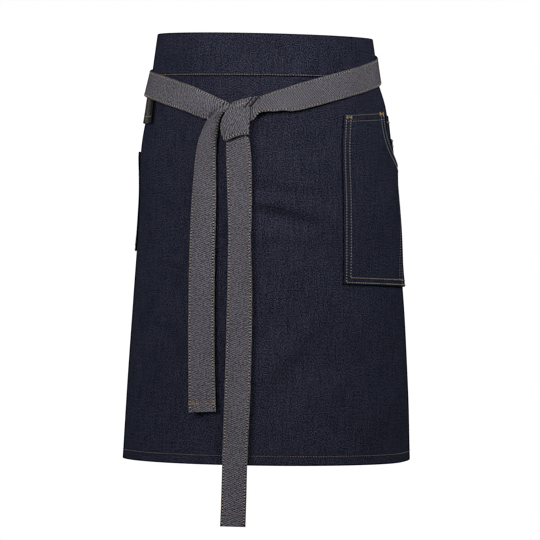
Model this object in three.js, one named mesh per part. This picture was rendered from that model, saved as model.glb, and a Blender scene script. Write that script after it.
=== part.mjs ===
import * as THREE from "three";

// A denim waist apron in its worn form. Millimetres, +Z up, the front faces -Y.
// The origin is the middle of the waist, half way up the waistband.

// Driving sizes
const FLAT_WIDTH = 700;
const LENGTH = 501.5;
const CLOTH = 1.2;
const GAP = 0.4;
const BAND_HEIGHT = 50;
const BAND_ABOVE = 25.5;
const BAND_LAP = 10;
const BAND_THICKNESS = 3;
const HEM_HEIGHT = 11.5;
const SIDE_HEM = 10;
const TIE_WIDTH = 31;
const TIE_THICKNESS = 1.6;
const TIE_FULLNESS = 0.75;
const TOP = BAND_ABOVE;
const SEAM = TOP - BAND_HEIGHT;
const HEM = TOP - LENGTH;
const SKIN = CLOTH / 2;
const BAND_FACE = SKIN + GAP + CLOTH;
const SEWN_MARGIN = 20;
const STEP_ROUND = 12.5;

// The form the apron is worn on: half width, half depth, how far its middle stands
// to the side, and the drop towards the viewer's right for each millimetre across.
const FORM = [
  { z: TOP, halfWidth: 127, halfDepth: 100, side: -1.6, drop: 0.029 },
  { z: SEAM, halfWidth: 134.8, halfDepth: 106, side: -1.6, drop: 0.018 },
  { z: -58, halfWidth: 142.3, halfDepth: 110.8, side: 0.6, drop: 0.016 },
  { z: -110, halfWidth: 149.9, halfDepth: 116.3, side: -0.6, drop: 0.015 },
  { z: -171, halfWidth: 153.3, halfDepth: 120, side: 1.7, drop: 0.013 },
  { z: -286, halfWidth: 162, halfDepth: 124.2, side: 2, drop: 0.01 },
  { z: -390, halfWidth: 168.9, halfDepth: 126.8, side: 0.6, drop: 0.008 },
  { z: HEM, halfWidth: 172.5, halfDepth: 128.5, side: -1.9, drop: 0.005 },
];

// Soft folds that run down to the hem behind the hips, measured along the cloth.
const FOLDS = [
  { at: -312, depth: 7, reach: 34, starts: -120 },
  { at: -250, depth: -5, reach: 34, starts: -190 },
  { at: 240, depth: -4, reach: 36, starts: -285 },
  { at: 308, depth: 8, reach: 36, starts: -130 },
];

// Colours of the cloth faces
const INDIGO = new THREE.MeshStandardMaterial({ color: 0x2a2c38, roughness: 0.92, metalness: 0 });
const GREY = new THREE.MeshStandardMaterial({ color: 0x5c5a60, roughness: 0.92, metalness: 0 });

const radians = THREE.MathUtils.degToRad;
const mix = THREE.MathUtils.lerp;

// A smooth curve through values given at rising knots.
function curve(knots, values, x) {
  const last = knots.length - 1;
  const at = Math.min(Math.max(x, knots[0]), knots[last]);
  let i = 0;
  while (i < last - 1 && at > knots[i + 1]) i += 1;
  const slope = (k) => {
    const before = Math.max(k - 1, 0);
    const after = Math.min(k + 1, last);
    return (values[after] - values[before]) / (knots[after] - knots[before]);
  };
  const span = knots[i + 1] - knots[i];
  const t = (at - knots[i]) / span;
  const rise = values[i + 1] * t * t * (3 - 2 * t) + values[i] * (1 + 2 * t) * (1 - t) * (1 - t);
  return rise + span * t * (1 - t) * (slope(i) * (1 - t) - slope(i + 1) * t);
}

// One column of a table as a smooth curve over another column.
function column(rows, over, name) {
  const sorted = [...rows].sort((p, q) => p[over] - q[over]);
  const knots = sorted.map((row) => row[over]);
  const values = sorted.map((row) => row[name]);
  return (x) => curve(knots, values, x);
}

const halfWidthAt = column(FORM, "z", "halfWidth");
const halfDepthAt = column(FORM, "z", "halfDepth");
const sideAt = column(FORM, "z", "side");
const dropAt = column(FORM, "z", "drop");

// Length along the form's ellipse, from the middle of the front, at one height.
const girths = new Map();
function girth(z) {
  const key = z.toFixed(2);
  if (!girths.has(key)) {
    const steps = 360;
    const lengths = [0];
    for (let i = 1; i <= steps; i += 1) {
      const angle = ((i - 0.5) / steps) * Math.PI;
      const across = halfWidthAt(z) * Math.cos(angle);
      const along = halfDepthAt(z) * Math.sin(angle);
      lengths.push(lengths[i - 1] + (Math.hypot(across, along) * Math.PI) / steps);
    }
    girths.set(key, lengths);
  }
  return girths.get(key);
}

// Angle round the form for a length along the cloth.
function angleAt(s, z) {
  const lengths = girth(z);
  const last = lengths.length - 1;
  const goal = Math.min(Math.abs(s), lengths[last]);
  let i = 1;
  while (i < last && lengths[i] < goal) i += 1;
  const part = (goal - lengths[i - 1]) / (lengths[i] - lengths[i - 1]);
  return (Math.sign(s) * (i - 1 + part) * Math.PI) / last;
}

// Point on the form at an angle and height, standing off it along its normal.
function onForm(angle, z, off) {
  const a = halfWidthAt(z);
  const b = halfDepthAt(z);
  const da = (halfWidthAt(z + 0.5) - halfWidthAt(z - 0.5));
  const db = (halfDepthAt(z + 0.5) - halfDepthAt(z - 0.5));
  const round = new THREE.Vector3(a * Math.cos(angle), b * Math.sin(angle), 0);
  const rise = new THREE.Vector3(da * Math.sin(angle), -db * Math.cos(angle), 1);
  const normal = round.cross(rise).normalize();
  const point = new THREE.Vector3(a * Math.sin(angle), -b * Math.cos(angle), z);
  point.addScaledVector(normal, off);
  point.z -= dropAt(z) * point.x;
  point.x += sideAt(z);
  return point;
}

// Outward swing of the folds at a place on the cloth.
function fold(s, z) {
  let swing = 0;
  for (const row of FOLDS) {
    const along = THREE.MathUtils.smoothstep(-z, -row.starts, -HEM);
    const away = (s - row.at) / row.reach;
    swing += row.depth * along * Math.exp(-away * away);
  }
  return swing;
}

// Point on the cloth: length round from the middle of the front, height, standoff.
function onCloth(s, z, off) {
  return onForm(angleAt(s, z), z, off + fold(s, z));
}

// A closed body carried from station to station: a ring of points at each, flat ends.
function loft(rings, ends) {
  const count = rings[0].length;
  const positions = [];
  const faces = [];
  for (const ring of rings) {
    for (const p of ring) positions.push(p.x, p.y, p.z);
  }
  for (let i = 0; i + 1 < rings.length; i += 1) {
    for (let j = 0; j < count; j += 1) {
      const p = i * count + j;
      const q = i * count + ((j + 1) % count);
      faces.push(p, q, p + count, q, q + count, p + count);
    }
  }
  const far = (rings.length - 1) * count;
  for (const [p, q, r] of ends) {
    faces.push(p, r, q);
    faces.push(far + p, far + q, far + r);
  }
  const geometry = new THREE.BufferGeometry();
  geometry.setAttribute("position", new THREE.Float32BufferAttribute(positions, 3));
  geometry.setIndex(faces);
  geometry.computeVertexNormals();
  return geometry;
}

// Flat end of a ring made of an outer row followed by the inner row turned back.
function stripEnd(rowLength) {
  const ends = [];
  for (let j = 0; j + 1 < rowLength; j += 1) {
    const inner = 2 * rowLength - 1 - j;
    ends.push([j, j + 1, inner], [j + 1, inner - 1, inner]);
  }
  return ends;
}

// Flat end of a ring of any outline, its triangles turned the way the outline runs.
function flatEnd(outline) {
  const way = Math.sign(THREE.ShapeUtils.area(outline));
  return THREE.ShapeUtils.triangulateShape(outline, []).map(([p, q, r]) => {
    const turn = THREE.ShapeUtils.area([outline[p], outline[q], outline[r]]);
    return Math.sign(turn) === way ? [p, q, r] : [p, r, q];
  });
}

function node(name, geometry, material) {
  const mesh = new THREE.Mesh(geometry, material);
  mesh.name = name;
  return mesh;
}

// Stations from one length to another, evenly spaced.
function stations(from, to, step) {
  const count = Math.ceil(Math.abs(to - from) / step);
  return Array.from({ length: count + 1 }, (_, i) => mix(from, to, i / count));
}

// The skirt: one layer, doubled inside along the hem and the two back edges.
function makePanel() {
  const half = FLAT_WIDTH / 2;
  const hemTop = HEM + HEM_HEIGHT;
  const levels = [HEM, hemTop, hemTop + 1.5, ...stations(hemTop + 28, SEAM - 24, 27)];
  levels.push(SEAM - 3, SEAM - 1.5, SEAM + BAND_LAP - GAP);
  const edges = [half, half - SIDE_HEM, half - SIDE_HEM - 1.5];
  const middle = stations(-edges[2] + 8, edges[2] - 8, STEP_ROUND);
  const rounds = [...edges.map((s) => -s), ...middle, ...edges.reverse()];
  const rings = rounds.map((s) => {
    const outer = levels.map((z) => onCloth(s, z, SKIN));
    const inner = levels.map((z) => {
      const turned = z <= hemTop || (Math.abs(s) >= half - SIDE_HEM && z < SEAM - 2);
      return onCloth(s, z, turned ? -SKIN - CLOTH : -SKIN);
    });
    return [...outer.reverse(), ...inner];
  });
  return node("panel", loft(rings, stripEnd(levels.length)), INDIGO);
}

// The waistband: a thick fold whose outer leaf laps over the panel's top edge.
function makeWaistband() {
  const inside = BAND_FACE - BAND_THICKNESS;
  const lapTop = SEAM + BAND_LAP;
  const outline = [
    { off: BAND_FACE, z: SEAM },
    { off: BAND_FACE - CLOTH, z: SEAM },
    { off: BAND_FACE - CLOTH, z: lapTop },
    { off: inside, z: lapTop },
    { off: inside, z: TOP - 1 },
    { off: inside + 1, z: TOP },
    { off: BAND_FACE - 1, z: TOP },
    { off: BAND_FACE, z: TOP - 1 },
  ];
  const ends = flatEnd(outline.map((p) => new THREE.Vector2(p.off, p.z)));
  const rounds = stations(-FLAT_WIDTH / 2, FLAT_WIDTH / 2, STEP_ROUND);
  const rings = rounds.map((s) => outline.map((p) => onCloth(s, p.z, p.off)));
  return node("waistband", loft(rings, ends), INDIGO);
}

// A patch on the panel. It stands off by its lift at the sewn edges and swells away from
// them, over its spring above the foot; mouth and heel are the standoff added there.
function makePatch(name, size, topAt, rows, rounds) {
  const smooth = THREE.MathUtils.smoothstep;
  const rings = rounds.map((s) => {
    const top = topAt(s);
    const foot = size.foot - size.fall * (s - size.left);
    const offAt = (z) => {
      const side = Math.min(s - size.left, size.right - s) / SEWN_MARGIN;
      const rise = smooth(Math.min(side, (z - foot) / size.spring), 0, 1);
      const mouth = (1 - smooth(top - z, 4, 28)) * smooth(s, size.mouthFrom, size.mouthFrom + 25);
      const heel = (1 - smooth(z - foot, 4, 30)) * smooth(s, size.left, size.left + 60);
      return SKIN + size.lift + size.swell * rise + size.mouth * mouth + size.heel * heel;
    };
    const levels = stations(0, 1, 1 / rows).map((t) => mix(foot, top, t));
    const outer = levels.map((z) => onCloth(s, z, offAt(z) + size.cloth));
    const inner = levels.map((z) => onCloth(s, z, offAt(z)));
    return [...outer.reverse(), ...inner];
  });
  return node(name, loft(rings, stripEnd(rows + 1)), INDIGO);
}

// The large pocket, with its scooped hand opening on the side away from the front.
const BIG_POCKET = {
  left: 120.7, right: 284, foot: -265, fall: 0.036, cloth: CLOTH, lift: 0.9,
  swell: 2.6, spring: 75, mouth: 1.2, mouthFrom: 185, heel: 0.75,
};
const BIG_POCKET_TOP = { left: -68.4, corner: -64 };
const SCOOP = { starts: 185, reach: 64, depth: 62 };

function bigPocketTop(s) {
  if (s <= SCOOP.starts) {
    const along = (s - BIG_POCKET.left) / (SCOOP.starts - BIG_POCKET.left);
    return mix(BIG_POCKET_TOP.left, BIG_POCKET_TOP.corner, along);
  }
  const along = Math.min((s - SCOOP.starts) / SCOOP.reach, 1);
  const fall = Math.sqrt(1 - (1 - along) * (1 - along));
  return BIG_POCKET_TOP.corner - SCOOP.depth * fall;
}

function makeBigPocket() {
  const flatTop = stations(BIG_POCKET.left, SCOOP.starts, STEP_ROUND);
  const bend = [0.01, 0.05, 0.13, 0.25, 0.45, 0.7, 1].map((t) => SCOOP.starts + SCOOP.reach * t);
  const tail = stations(SCOOP.starts + SCOOP.reach + 10, BIG_POCKET.right, STEP_ROUND);
  return makePatch("pocket_right", BIG_POCKET, bigPocketTop, 12, [...flatTop, ...bend, ...tail]);
}

// The layer that faces the scoop, behind the large pocket.
const FACING = {
  left: 200, right: 274, foot: -172, fall: 0, cloth: 1, lift: 0.3,
  swell: 0, spring: 20, mouth: 0, mouthFrom: 0, heel: 0, top: -67,
};

function makeFacing() {
  const rounds = stations(FACING.left, FACING.right, STEP_ROUND / 2);
  return makePatch("pocket_facing", FACING, () => FACING.top, 6, rounds);
}

// The small patch on that layer; the large pocket lies over its lower part.
const COIN_POCKET = {
  left: 214, right: 262, foot: -168, fall: 0, cloth: CLOTH, lift: 1.6,
  swell: 0.3, spring: 20, mouth: 0, mouthFrom: 0, heel: 0, top: -94.6,
};

function makeCoinPocket() {
  const rounds = stations(COIN_POCKET.left, COIN_POCKET.right, STEP_ROUND / 2);
  return makePatch("coin_pocket", COIN_POCKET, () => COIN_POCKET.top, 5, rounds);
}

// The plain pocket on the viewer's left hip.
const SMALL_POCKET = {
  left: -298, right: -183, foot: -231, fall: 0, cloth: CLOTH, lift: 0.5,
  swell: 0, spring: 20, mouth: 0.8, mouthFrom: -330, heel: 0.5, top: -113,
};

function makeSmallPocket() {
  const rounds = stations(SMALL_POCKET.left, SMALL_POCKET.right, STEP_ROUND);
  return makePatch("pocket_left", SMALL_POCKET, () => SMALL_POCKET.top, 10, rounds);
}

// A strap laid through rungs. Each rung has the strap's two edges, the depth of its bow
// and the push of its middle; the faces stand half a thickness off the middle layer.
const STRAP_ACROSS = [-1, -0.4, 0.4, 1];

function strap(rungs, thickness, fineness) {
  const middles = rungs.map((r) => r.upper.clone().add(r.lower).multiplyScalar(0.5));
  const halves = rungs.map((r) => r.upper.clone().sub(r.lower).multiplyScalar(0.5));
  const knots = [0];
  for (let i = 1; i < rungs.length; i += 1) {
    const move = middles[i].distanceTo(middles[i - 1]) + halves[i].distanceTo(halves[i - 1]);
    knots.push(knots[i - 1] + Math.sqrt(move));
  }
  const at = (points, x) => new THREE.Vector3(
    curve(knots, points.map((p) => p.x), x),
    curve(knots, points.map((p) => p.y), x),
    curve(knots, points.map((p) => p.z), x),
  );
  const bows = rungs.map((r) => r.bow ?? 0);
  const pushes = rungs.map((r) => r.push ?? new THREE.Vector3());
  const crowns = middles.map((p, i) => p.clone().add(pushes[i]));
  const rings = [];
  const places = [];
  for (let i = 0; i + 1 < rungs.length; i += 1) {
    const fine = rungs[i].fine ?? fineness;
    for (let k = 0; k < fine; k += 1) places.push(mix(knots[i], knots[i + 1], k / fine));
  }
  places.push(knots[knots.length - 1]);
  const tiny = 0.02;
  for (const x of places) {
    const half = at(halves, x);
    const middle = at(middles, x);
    const before = at(crowns, x - tiny);
    const after = at(crowns, x + tiny);
    const along = after.sub(before);
    const normal = along.cross(half).normalize();
    const bow = curve(knots, bows, x);
    const push = at(pushes, x);
    const row = (side) => STRAP_ACROSS.map((t) => {
      const p = middle.clone().addScaledVector(half, t).addScaledVector(push, 1 - t * t);
      return p.addScaledVector(normal, bow * (1 - t * t) + (side * thickness) / 2);
    });
    rings.push([...row(1).reverse(), ...row(-1)]);
  }
  return loft(rings, stripEnd(STRAP_ACROSS.length));
}

// Rungs of a strap that lies round the form, from a table of angle, height and standoff.
function roundRungs(rows, step) {
  const zAt = column(rows, "angle", "z");
  const offAt = column(rows, "angle", "off");
  const from = rows[0].angle;
  const to = rows[rows.length - 1].angle;
  const place = (angle) => onForm(radians(angle), zAt(angle), offAt(angle));
  return stations(from, to, step).map((angle) => {
    const z = zAt(angle);
    const middle = place(angle);
    const along = place(angle + 0.3).sub(place(angle - 0.3)).normalize();
    const out = onForm(radians(angle), z, 10).sub(onForm(radians(angle), z, 0)).normalize();
    const across = out.cross(along).normalize();
    if (across.z < 0) across.negate();
    return {
      upper: middle.clone().addScaledVector(across, TIE_WIDTH / 2),
      lower: middle.clone().addScaledVector(across, -TIE_WIDTH / 2),
    };
  });
}

// Depth of the bow that lets a strap's full width fit between two closer edges.
function bowFor(chord) {
  const spare = Math.max(TIE_WIDTH - chord, 0);
  return TIE_FULLNESS * Math.sqrt((3 * chord * spare) / 8);
}

// Middle of the knot on the cloth.
const KNOT = { s: -3.8, z: -78 };

// Rungs from a table of edge places, right of and above the knot's middle.
function knotRungs(rows, bowed) {
  return rows.map((r) => {
    const chord = Math.hypot(r.ua - r.ub, r.va - r.vb);
    const across = KNOT.s + (r.ua + r.ub) / 2;
    const up = KNOT.z + (r.va + r.vb) / 2;
    const left = onCloth(across - 1, up, r.off).sub(onCloth(across + 1, up, r.off)).normalize();
    return {
      upper: onCloth(KNOT.s + r.ua, KNOT.z + r.va, r.off),
      lower: onCloth(KNOT.s + r.ub, KNOT.z + r.vb, r.off + (r.lift ?? 0)),
      bow: bowed ? bowFor(chord) : 0,
      push: left.multiplyScalar(r.push ?? 0),
      fine: r.fine,
    };
  });
}

// The strap round the viewer's left: root behind on the right, round by the left hip.
const LEFT_ROUND = [
  { angle: 162, z: -8, off: 4 },
  { angle: 171, z: -10, off: 4 },
  { angle: 180, z: -18, off: 4 },
  { angle: 189, z: -27, off: 4 },
  { angle: 202, z: -29, off: 4.2 },
  { angle: 240, z: -28.5, off: 4.4 },
  { angle: 262, z: -29, off: 4.7 },
  { angle: 282, z: -32.3, off: 5.5 },
  { angle: 303.5, z: -37.7, off: 5.5 },
  { angle: 314, z: -42, off: 4.4 },
  { angle: 324, z: -47.2, off: 3.9 },
];

// Its turn at the knot and the short tail: outer edge a, inner edge b, and how far
// edge b lifts away beyond edge a.
const LEFT_TURN = [
  { ua: -53.6, va: 39, ub: -67.3, vb: 11, off: 3.9 },
  { ua: -40, va: 33.4, ub: -53, vb: 6.1, off: 3.9 },
  { ua: -30, va: 29.5, ub: -44, vb: 3.3, off: 3.9 },
  { ua: -20.5, va: 25.4, ub: -37.6, vb: 1.9, off: 3.9 },
  { ua: -12.5, va: 22, ub: -36.6, vb: 1.5, off: 3.9 },
  { ua: -9, va: 18.6, ub: -36.6, vb: 1.3, off: 3.9 },
  { ua: -11.5, va: 14, ub: -36.8, vb: 0.9, off: 3.8 },
  { ua: -17.4, va: 8, ub: -37.4, vb: -0.4, off: 3.6 },
  { ua: -20.4, va: 2, ub: -39.2, vb: -3.6, off: 3.4 },
  { ua: -21.3, va: -8, ub: -42.2, vb: -10.5, off: 3.3 },
  { ua: -22.4, va: -18, ub: -45.4, vb: -18.6, off: 3.4, lift: 0.4 },
  { ua: -23.2, va: -29, ub: -47.6, vb: -29.5, off: 3.6, lift: 1 },
  { ua: -23.9, va: -45.5, ub: -49.7, vb: -45.5, off: 3.9, lift: 1.8 },
  { ua: -24, va: -57, ub: -50.9, vb: -57, off: 4, lift: 2.4, fine: 2 },
  { ua: -24.9, va: -100, ub: -54.4, vb: -100, off: 4.4, lift: 4.4, fine: 2 },
  { ua: -25.7, va: -152, ub: -55.7, vb: -152, off: 4.8, lift: 5.2, fine: 2 },
  { ua: -25.7, va: -210, ub: -56, vb: -210, off: 5, lift: 5.4, fine: 2 },
  { ua: -24.5, va: -268, ub: -55.2, vb: -268, off: 5, lift: 5 },
  { ua: -22, va: -320, ub: -53.8, vb: -320.5, off: 5.4, lift: 4 },
  { ua: -20.8, va: -336, ub: -52.9, vb: -338, off: 5.8, lift: 3.6 },
];

function makeTieLeft() {
  const round = roundRungs(LEFT_ROUND, 6);
  const rungs = [...round, ...knotRungs(LEFT_TURN, true)];
  return node("tie_left", strap(rungs, TIE_THICKNESS, 1), GREY);
}

// The strap round the viewer's right: root behind on the left, round by the right hip.
const RIGHT_ROUND = [
  { angle: 198, z: 8.8, off: 4 },
  { angle: 192, z: 8.8, off: 4.2 },
  { angle: 186, z: 8.6, off: 6.2 },
  { angle: 172, z: 7, off: 6.3 },
  { angle: 160, z: 4.5, off: 6.2 },
  { angle: 146, z: 0.5, off: 4.2 },
  { angle: 120, z: -7, off: 4 },
  { angle: 98, z: -14, off: 4 },
  { angle: 82, z: -20, off: 4 },
  { angle: 66, z: -27.3, off: 4 },
  { angle: 51, z: -35, off: 3.9 },
  { angle: 39, z: -42, off: 3.9 },
  { angle: 29, z: -48.4, off: 4 },
];

// Its gathered entry, the wrap of the knot and the long tail: edge a is the upper one.
const RIGHT_WRAP = [
  { ua: 58, va: 39.9, ub: 62.5, vb: 12, off: 4.2 },
  { ua: 49.5, va: 37, ub: 52.5, vb: 12.4, off: 4.6 },
  { ua: 41.5, va: 34.2, ub: 43.5, vb: 11.3, off: 5 },
  { ua: 34, va: 31.2, ub: 34, vb: 11, off: 5.6 },
  { ua: 29.4, va: 29.4, ub: 25.6, vb: 8.8, off: 6.2 },
  { ua: 27.4, va: 28.4, ub: 17.5, vb: -0.5, off: 6.8 },
  { ua: 20.8, va: 28, ub: 3, vb: 2.5, off: 7 },
  { ua: 11, va: 26.2, ub: -4.6, vb: -0.5, off: 6.8 },
  { ua: 4.4, va: 24.6, ub: -6.2, vb: -5, off: 6.6 },
  { ua: -2.5, va: 22.3, ub: -7.4, vb: -9.5, off: 6.3, push: 1 },
  { ua: -7.6, va: 19.6, ub: -9, vb: -15, off: 6.2, push: 3 },
  { ua: -10, va: 14.6, ub: -10.2, vb: -21, off: 7, push: 6, fine: 2 },
  { ua: -9.9, va: 11.4, ub: -10.6, vb: -24, off: 9.2, push: 7, fine: 2 },
  { ua: -6.4, va: 11.2, ub: -7, vb: -23.4, off: 11.4, push: 5 },
  { ua: 0, va: 12.2, ub: 0, vb: -20.2, off: 11.9, push: 1.5 },
  { ua: 7, va: 13.4, ub: 7, vb: -17.8, off: 11.8 },
  { ua: 12.4, va: 14.6, ub: 12.8, vb: -16.8, off: 11.2, fine: 2 },
  { ua: 15.2, va: 15.2, ub: 15.5, vb: -16.6, off: 10, fine: 2 },
  { ua: 12.2, va: 14.4, ub: 13, vb: -16.4, off: 8.4 },
  { ua: 1, va: 10, ub: 12.6, vb: -16.8, off: 8.2 },
  { ua: -6.6, va: 2, ub: 12.8, vb: -17, off: 8.2 },
  { ua: -9.8, va: -9, ub: 13.8, vb: -18.4, off: 8.2 },
  { ua: -10.2, va: -22, ub: 16.8, vb: -22.6, off: 8 },
  { ua: -10.2, va: -38, ub: 18.7, vb: -38, off: 7.2 },
  { ua: -10.2, va: -57, ub: 19, vb: -57, off: 6.6, fine: 3 },
  { ua: -10, va: -100, ub: 18, vb: -100, off: 6, fine: 3 },
  { ua: -9.6, va: -140, ub: 17.3, vb: -140, off: 5.8, fine: 3 },
  { ua: -10.2, va: -200, ub: 19.2, vb: -200, off: 5.6, fine: 3 },
  { ua: -11, va: -300, ub: 19.5, vb: -300, off: 5.6, fine: 3 },
  { ua: -11.2, va: -390, ub: 18.4, vb: -390, off: 5.4 },
  { ua: -12.6, va: -440, ub: 17.3, vb: -440, off: 5 },
  { ua: -13.8, va: -468.8, ub: 16.3, vb: -468.8, off: 4.8 },
];

function makeTieRight() {
  const round = roundRungs(RIGHT_ROUND, 6);
  const rungs = [...round, ...knotRungs(RIGHT_WRAP, false)];
  return node("tie_right", strap(rungs, TIE_THICKNESS, 1), GREY);
}

// The tape loop at the left hip: down from the seam, round its foot and up again.
const LOOP = {
  front: -133, back: -163, top: SEAM - 0.5, foot: -80.5, thickness: 1, closed: 0.3, slit: 1.3,
};

function makeSideLoop() {
  const near = SKIN + GAP;
  const slitIn = near + LOOP.thickness;
  const opens = (z) => THREE.MathUtils.smoothstep(LOOP.top - z, 0, 30);
  const slitOut = (z) => slitIn + mix(LOOP.closed, LOOP.slit, opens(z));
  const far = (z) => slitOut(z) + LOOP.thickness;
  const turn = LOOP.foot + LOOP.thickness;
  const levels = stations(LOOP.top, turn, 12);
  const side = (offAt, lowest) => levels.map((z) => ({ off: offAt(z), z: Math.max(z, lowest) }));
  const outer = [
    ...side(far, turn),
    { off: far(turn) - LOOP.thickness, z: LOOP.foot },
    { off: near + LOOP.thickness, z: LOOP.foot },
    ...side(() => near, turn).reverse(),
  ];
  const inner = [
    ...side(slitOut, turn + 0.6),
    { off: mix(slitOut(turn), slitIn, 0.3), z: turn + 0.3 },
    { off: mix(slitOut(turn), slitIn, 0.7), z: turn + 0.3 },
    ...side(() => slitIn, turn + 0.6).reverse(),
  ];
  const outline = [...outer, ...inner.reverse()];
  const rounds = stations(LOOP.back, LOOP.front, STEP_ROUND / 2);
  const rings = rounds.map((s) => outline.map((p) => onCloth(s, p.z, p.off)));
  return node("side_loop", loft(rings, stripEnd(outer.length)), GREY);
}

const apron = new THREE.Group();
apron.name = "denim_waist_apron";
apron.add(makePanel());
apron.add(makeWaistband());
apron.add(makeBigPocket());
apron.add(makeFacing());
apron.add(makeCoinPocket());
apron.add(makeSmallPocket());
apron.add(makeSideLoop());
apron.add(makeTieLeft());
apron.add(makeTieRight());

export default apron;
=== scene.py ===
"""A denim waist apron in its worn form, tied in front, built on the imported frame."""

from functools import cache

import bpy
import numpy as np
from bpy.props import FloatProperty, FloatVectorProperty, PointerProperty
from bpy.types import Operator, Panel, PropertyGroup
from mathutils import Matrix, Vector


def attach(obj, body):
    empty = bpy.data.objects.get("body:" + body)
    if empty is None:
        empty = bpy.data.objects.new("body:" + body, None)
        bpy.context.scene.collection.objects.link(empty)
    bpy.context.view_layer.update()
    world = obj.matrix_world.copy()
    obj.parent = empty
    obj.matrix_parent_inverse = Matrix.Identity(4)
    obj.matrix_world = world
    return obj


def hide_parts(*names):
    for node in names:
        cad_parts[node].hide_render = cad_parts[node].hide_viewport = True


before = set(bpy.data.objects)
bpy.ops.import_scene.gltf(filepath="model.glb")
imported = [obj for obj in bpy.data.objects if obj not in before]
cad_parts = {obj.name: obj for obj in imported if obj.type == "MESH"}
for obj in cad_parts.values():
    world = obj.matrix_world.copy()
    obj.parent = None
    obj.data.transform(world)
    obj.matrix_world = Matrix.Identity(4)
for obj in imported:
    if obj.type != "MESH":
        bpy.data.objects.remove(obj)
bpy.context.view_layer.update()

bl_info = {
    "name": "Denim Waist Apron",
    "version": (1, 0, 0),
    "blender": (4, 5, 0),
    "location": "View3D > Sidebar > Apron",
    "description": "Builds a worn denim waist apron with its straps, pockets and stitching",
    "category": "Add Mesh",
}

MM = 0.001

# Sizes of the cloth. All tables are in millimetres and degrees unless they say otherwise. Heights
# are above the middle of the waistband, and places along the cloth are from the middle of the front.
TOP, SEAM, HEM = 25.5, -24.5, -476.0
FLAT_HALF = 350.0
HEM_HEIGHT, SIDE_HEM, SIDE_HEM_DROP = 11.5, 10.0, 2.0
BAND_LAP, BAND_THICKNESS, BAND_ROUND = 10.0, 3.0, 1.4
GAP = 0.4
TIE_WIDTH, TIE_FULLNESS = 31.0, 0.75
TAPE_THICKNESS = 1.0
SEWN_MARGIN = 20.0

# How the foot of the band's outer leaf ends inside: a little off the panel and short of the edge
LEAF_FLARE, LEAF_SHORT = 0.1, 0.2

# Cut edges: width of the rounding, of the firm strip inside it, and the fall of the rounding
EDGE_ROUND, EDGE_FIRM, EDGE_FALL = 0.7, 3.0, 0.3
PATCH_ROUND, PATCH_FALL = 0.8, 0.35
BAND_EDGE_ROUND = 0.35

# Grooves under rows of stitches: depth and reach. A strap's are shares of its half thickness and
# half width.
HEM_DENT, BAND_DENT, STRAP_DENT = (0.22, 1.3), (0.25, 1.1), (0.4, 0.05)
BAND_DENT_RISE = 2.2

# Rows of mesh points kept near the hem's top, the waist seam, the side hems and the band's foot,
# points on the round top and foot of the band and loop, and rows near a patch's foot and top
HEM_ROWS = np.array([-3.0, -1.0, 0.0, 1.2, 4.0])
SEAM_ROWS = np.array([-8.0, -3.0, -1.5])
SIDE_ROWS = np.array([3.0, 1.0, 0.0, -1.5, -5.0])
BAND_ROWS = np.array([0.0, BAND_EDGE_ROUND, 1.2, BAND_DENT_RISE, 3.4, 5.0])
BAND_ARC, LOOP_ARC = 9, 7
PATCH_EDGE_SHARES = (0.004, 0.012, 0.988, 0.996)

# Widest steps of the meshes, then angles: the limit of smooth shading and the straps' rungs
ROUND_STEP, PANEL_RISE, BAND_INNER_RISE = 4.0, 3.0, 6.0
PATCH_STEP, LOOP_STEP, STRAP_STEP, LINE_STEP = 3.5, 3.0, 2.5, 2.0
SHARP_ANGLE, RUNG_ANGLE = 50.0, 6.0

# The form the apron is worn on: z, half width, half depth, side, drop for each mm across
FORM = np.array([
    (HEM, 172.5, 128.5, -1.9, 0.005),
    (-390.0, 168.9, 126.8, 0.6, 0.008),
    (-286.0, 162.0, 124.2, 2.0, 0.010),
    (-171.0, 153.3, 120.0, 1.7, 0.013),
    (-110.0, 149.9, 116.3, -0.6, 0.015),
    (-58.0, 142.3, 110.8, 0.6, 0.016),
    (SEAM, 134.8, 106.0, -1.6, 0.018),
    (TOP, 127.0, 100.0, -1.6, 0.029),
])

# Soft folds behind the hips: place along the cloth, depth, reach, height where it starts
FOLDS = np.array([
    (-312.0, 7.0, 34.0, -120.0),
    (-250.0, -5.0, 34.0, -190.0),
    (240.0, -4.0, 36.0, -285.0),
    (308.0, 8.0, 36.0, -130.0),
])

# Drag creases beside the tails: place along the cloth and height at the left end and at the right
# end, reach to either side and depth
CREASES = np.array([
    (13.0, -173.0, 120.0, -199.0, 11.0, 2.8),
    (13.0, -150.0, 122.0, -162.0, 7.0, 0.8),
    (13.0, -215.0, 92.0, -219.0, 9.0, 0.7),
    (-112.0, -170.0, -58.0, -184.0, 7.0, 1.8),
    (-107.0, -241.0, -58.0, -254.0, 7.0, 1.8),
    (-131.0, -309.0, -76.0, -325.0, 7.5, 2.0),
    (26.0, -394.0, 126.0, -278.0, 17.0, 2.4),
])

# What brings a crease's d e^(-d d) to 1, and the shares of its length where it starts and ends
CREASE_PEAK = 2.33
CREASE_STARTS, CREASE_ENDS = (-0.03, 0.13), (0.45, 1.0)

# Small waves of worn cloth: depth, then length along the cloth and height for one radian, and
# start. They are full under a height, and the band has one of its own over its foot.
WAVES = ((0.45, 61.0, 190.0, 0.4), (0.25, 27.0, -120.0, 1.3))
WAVE_SHARE, WAVES_FULL = 0.7, -160.0
BAND_WAVE, BAND_WAVE_STARTS = (0.35, 33.0, 0.7), 8.0

# Table of angles round the form: lowest and highest height and step, longest length and step, and
# parts of half a turn
ANGLE_LOW, ANGLE_HIGH, ANGLE_RISE = -560.0, 41.0, 4.0
ANGLE_FAR, ANGLE_STEP, ANGLE_PARTS = 540.0, 2.0, 360

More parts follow.
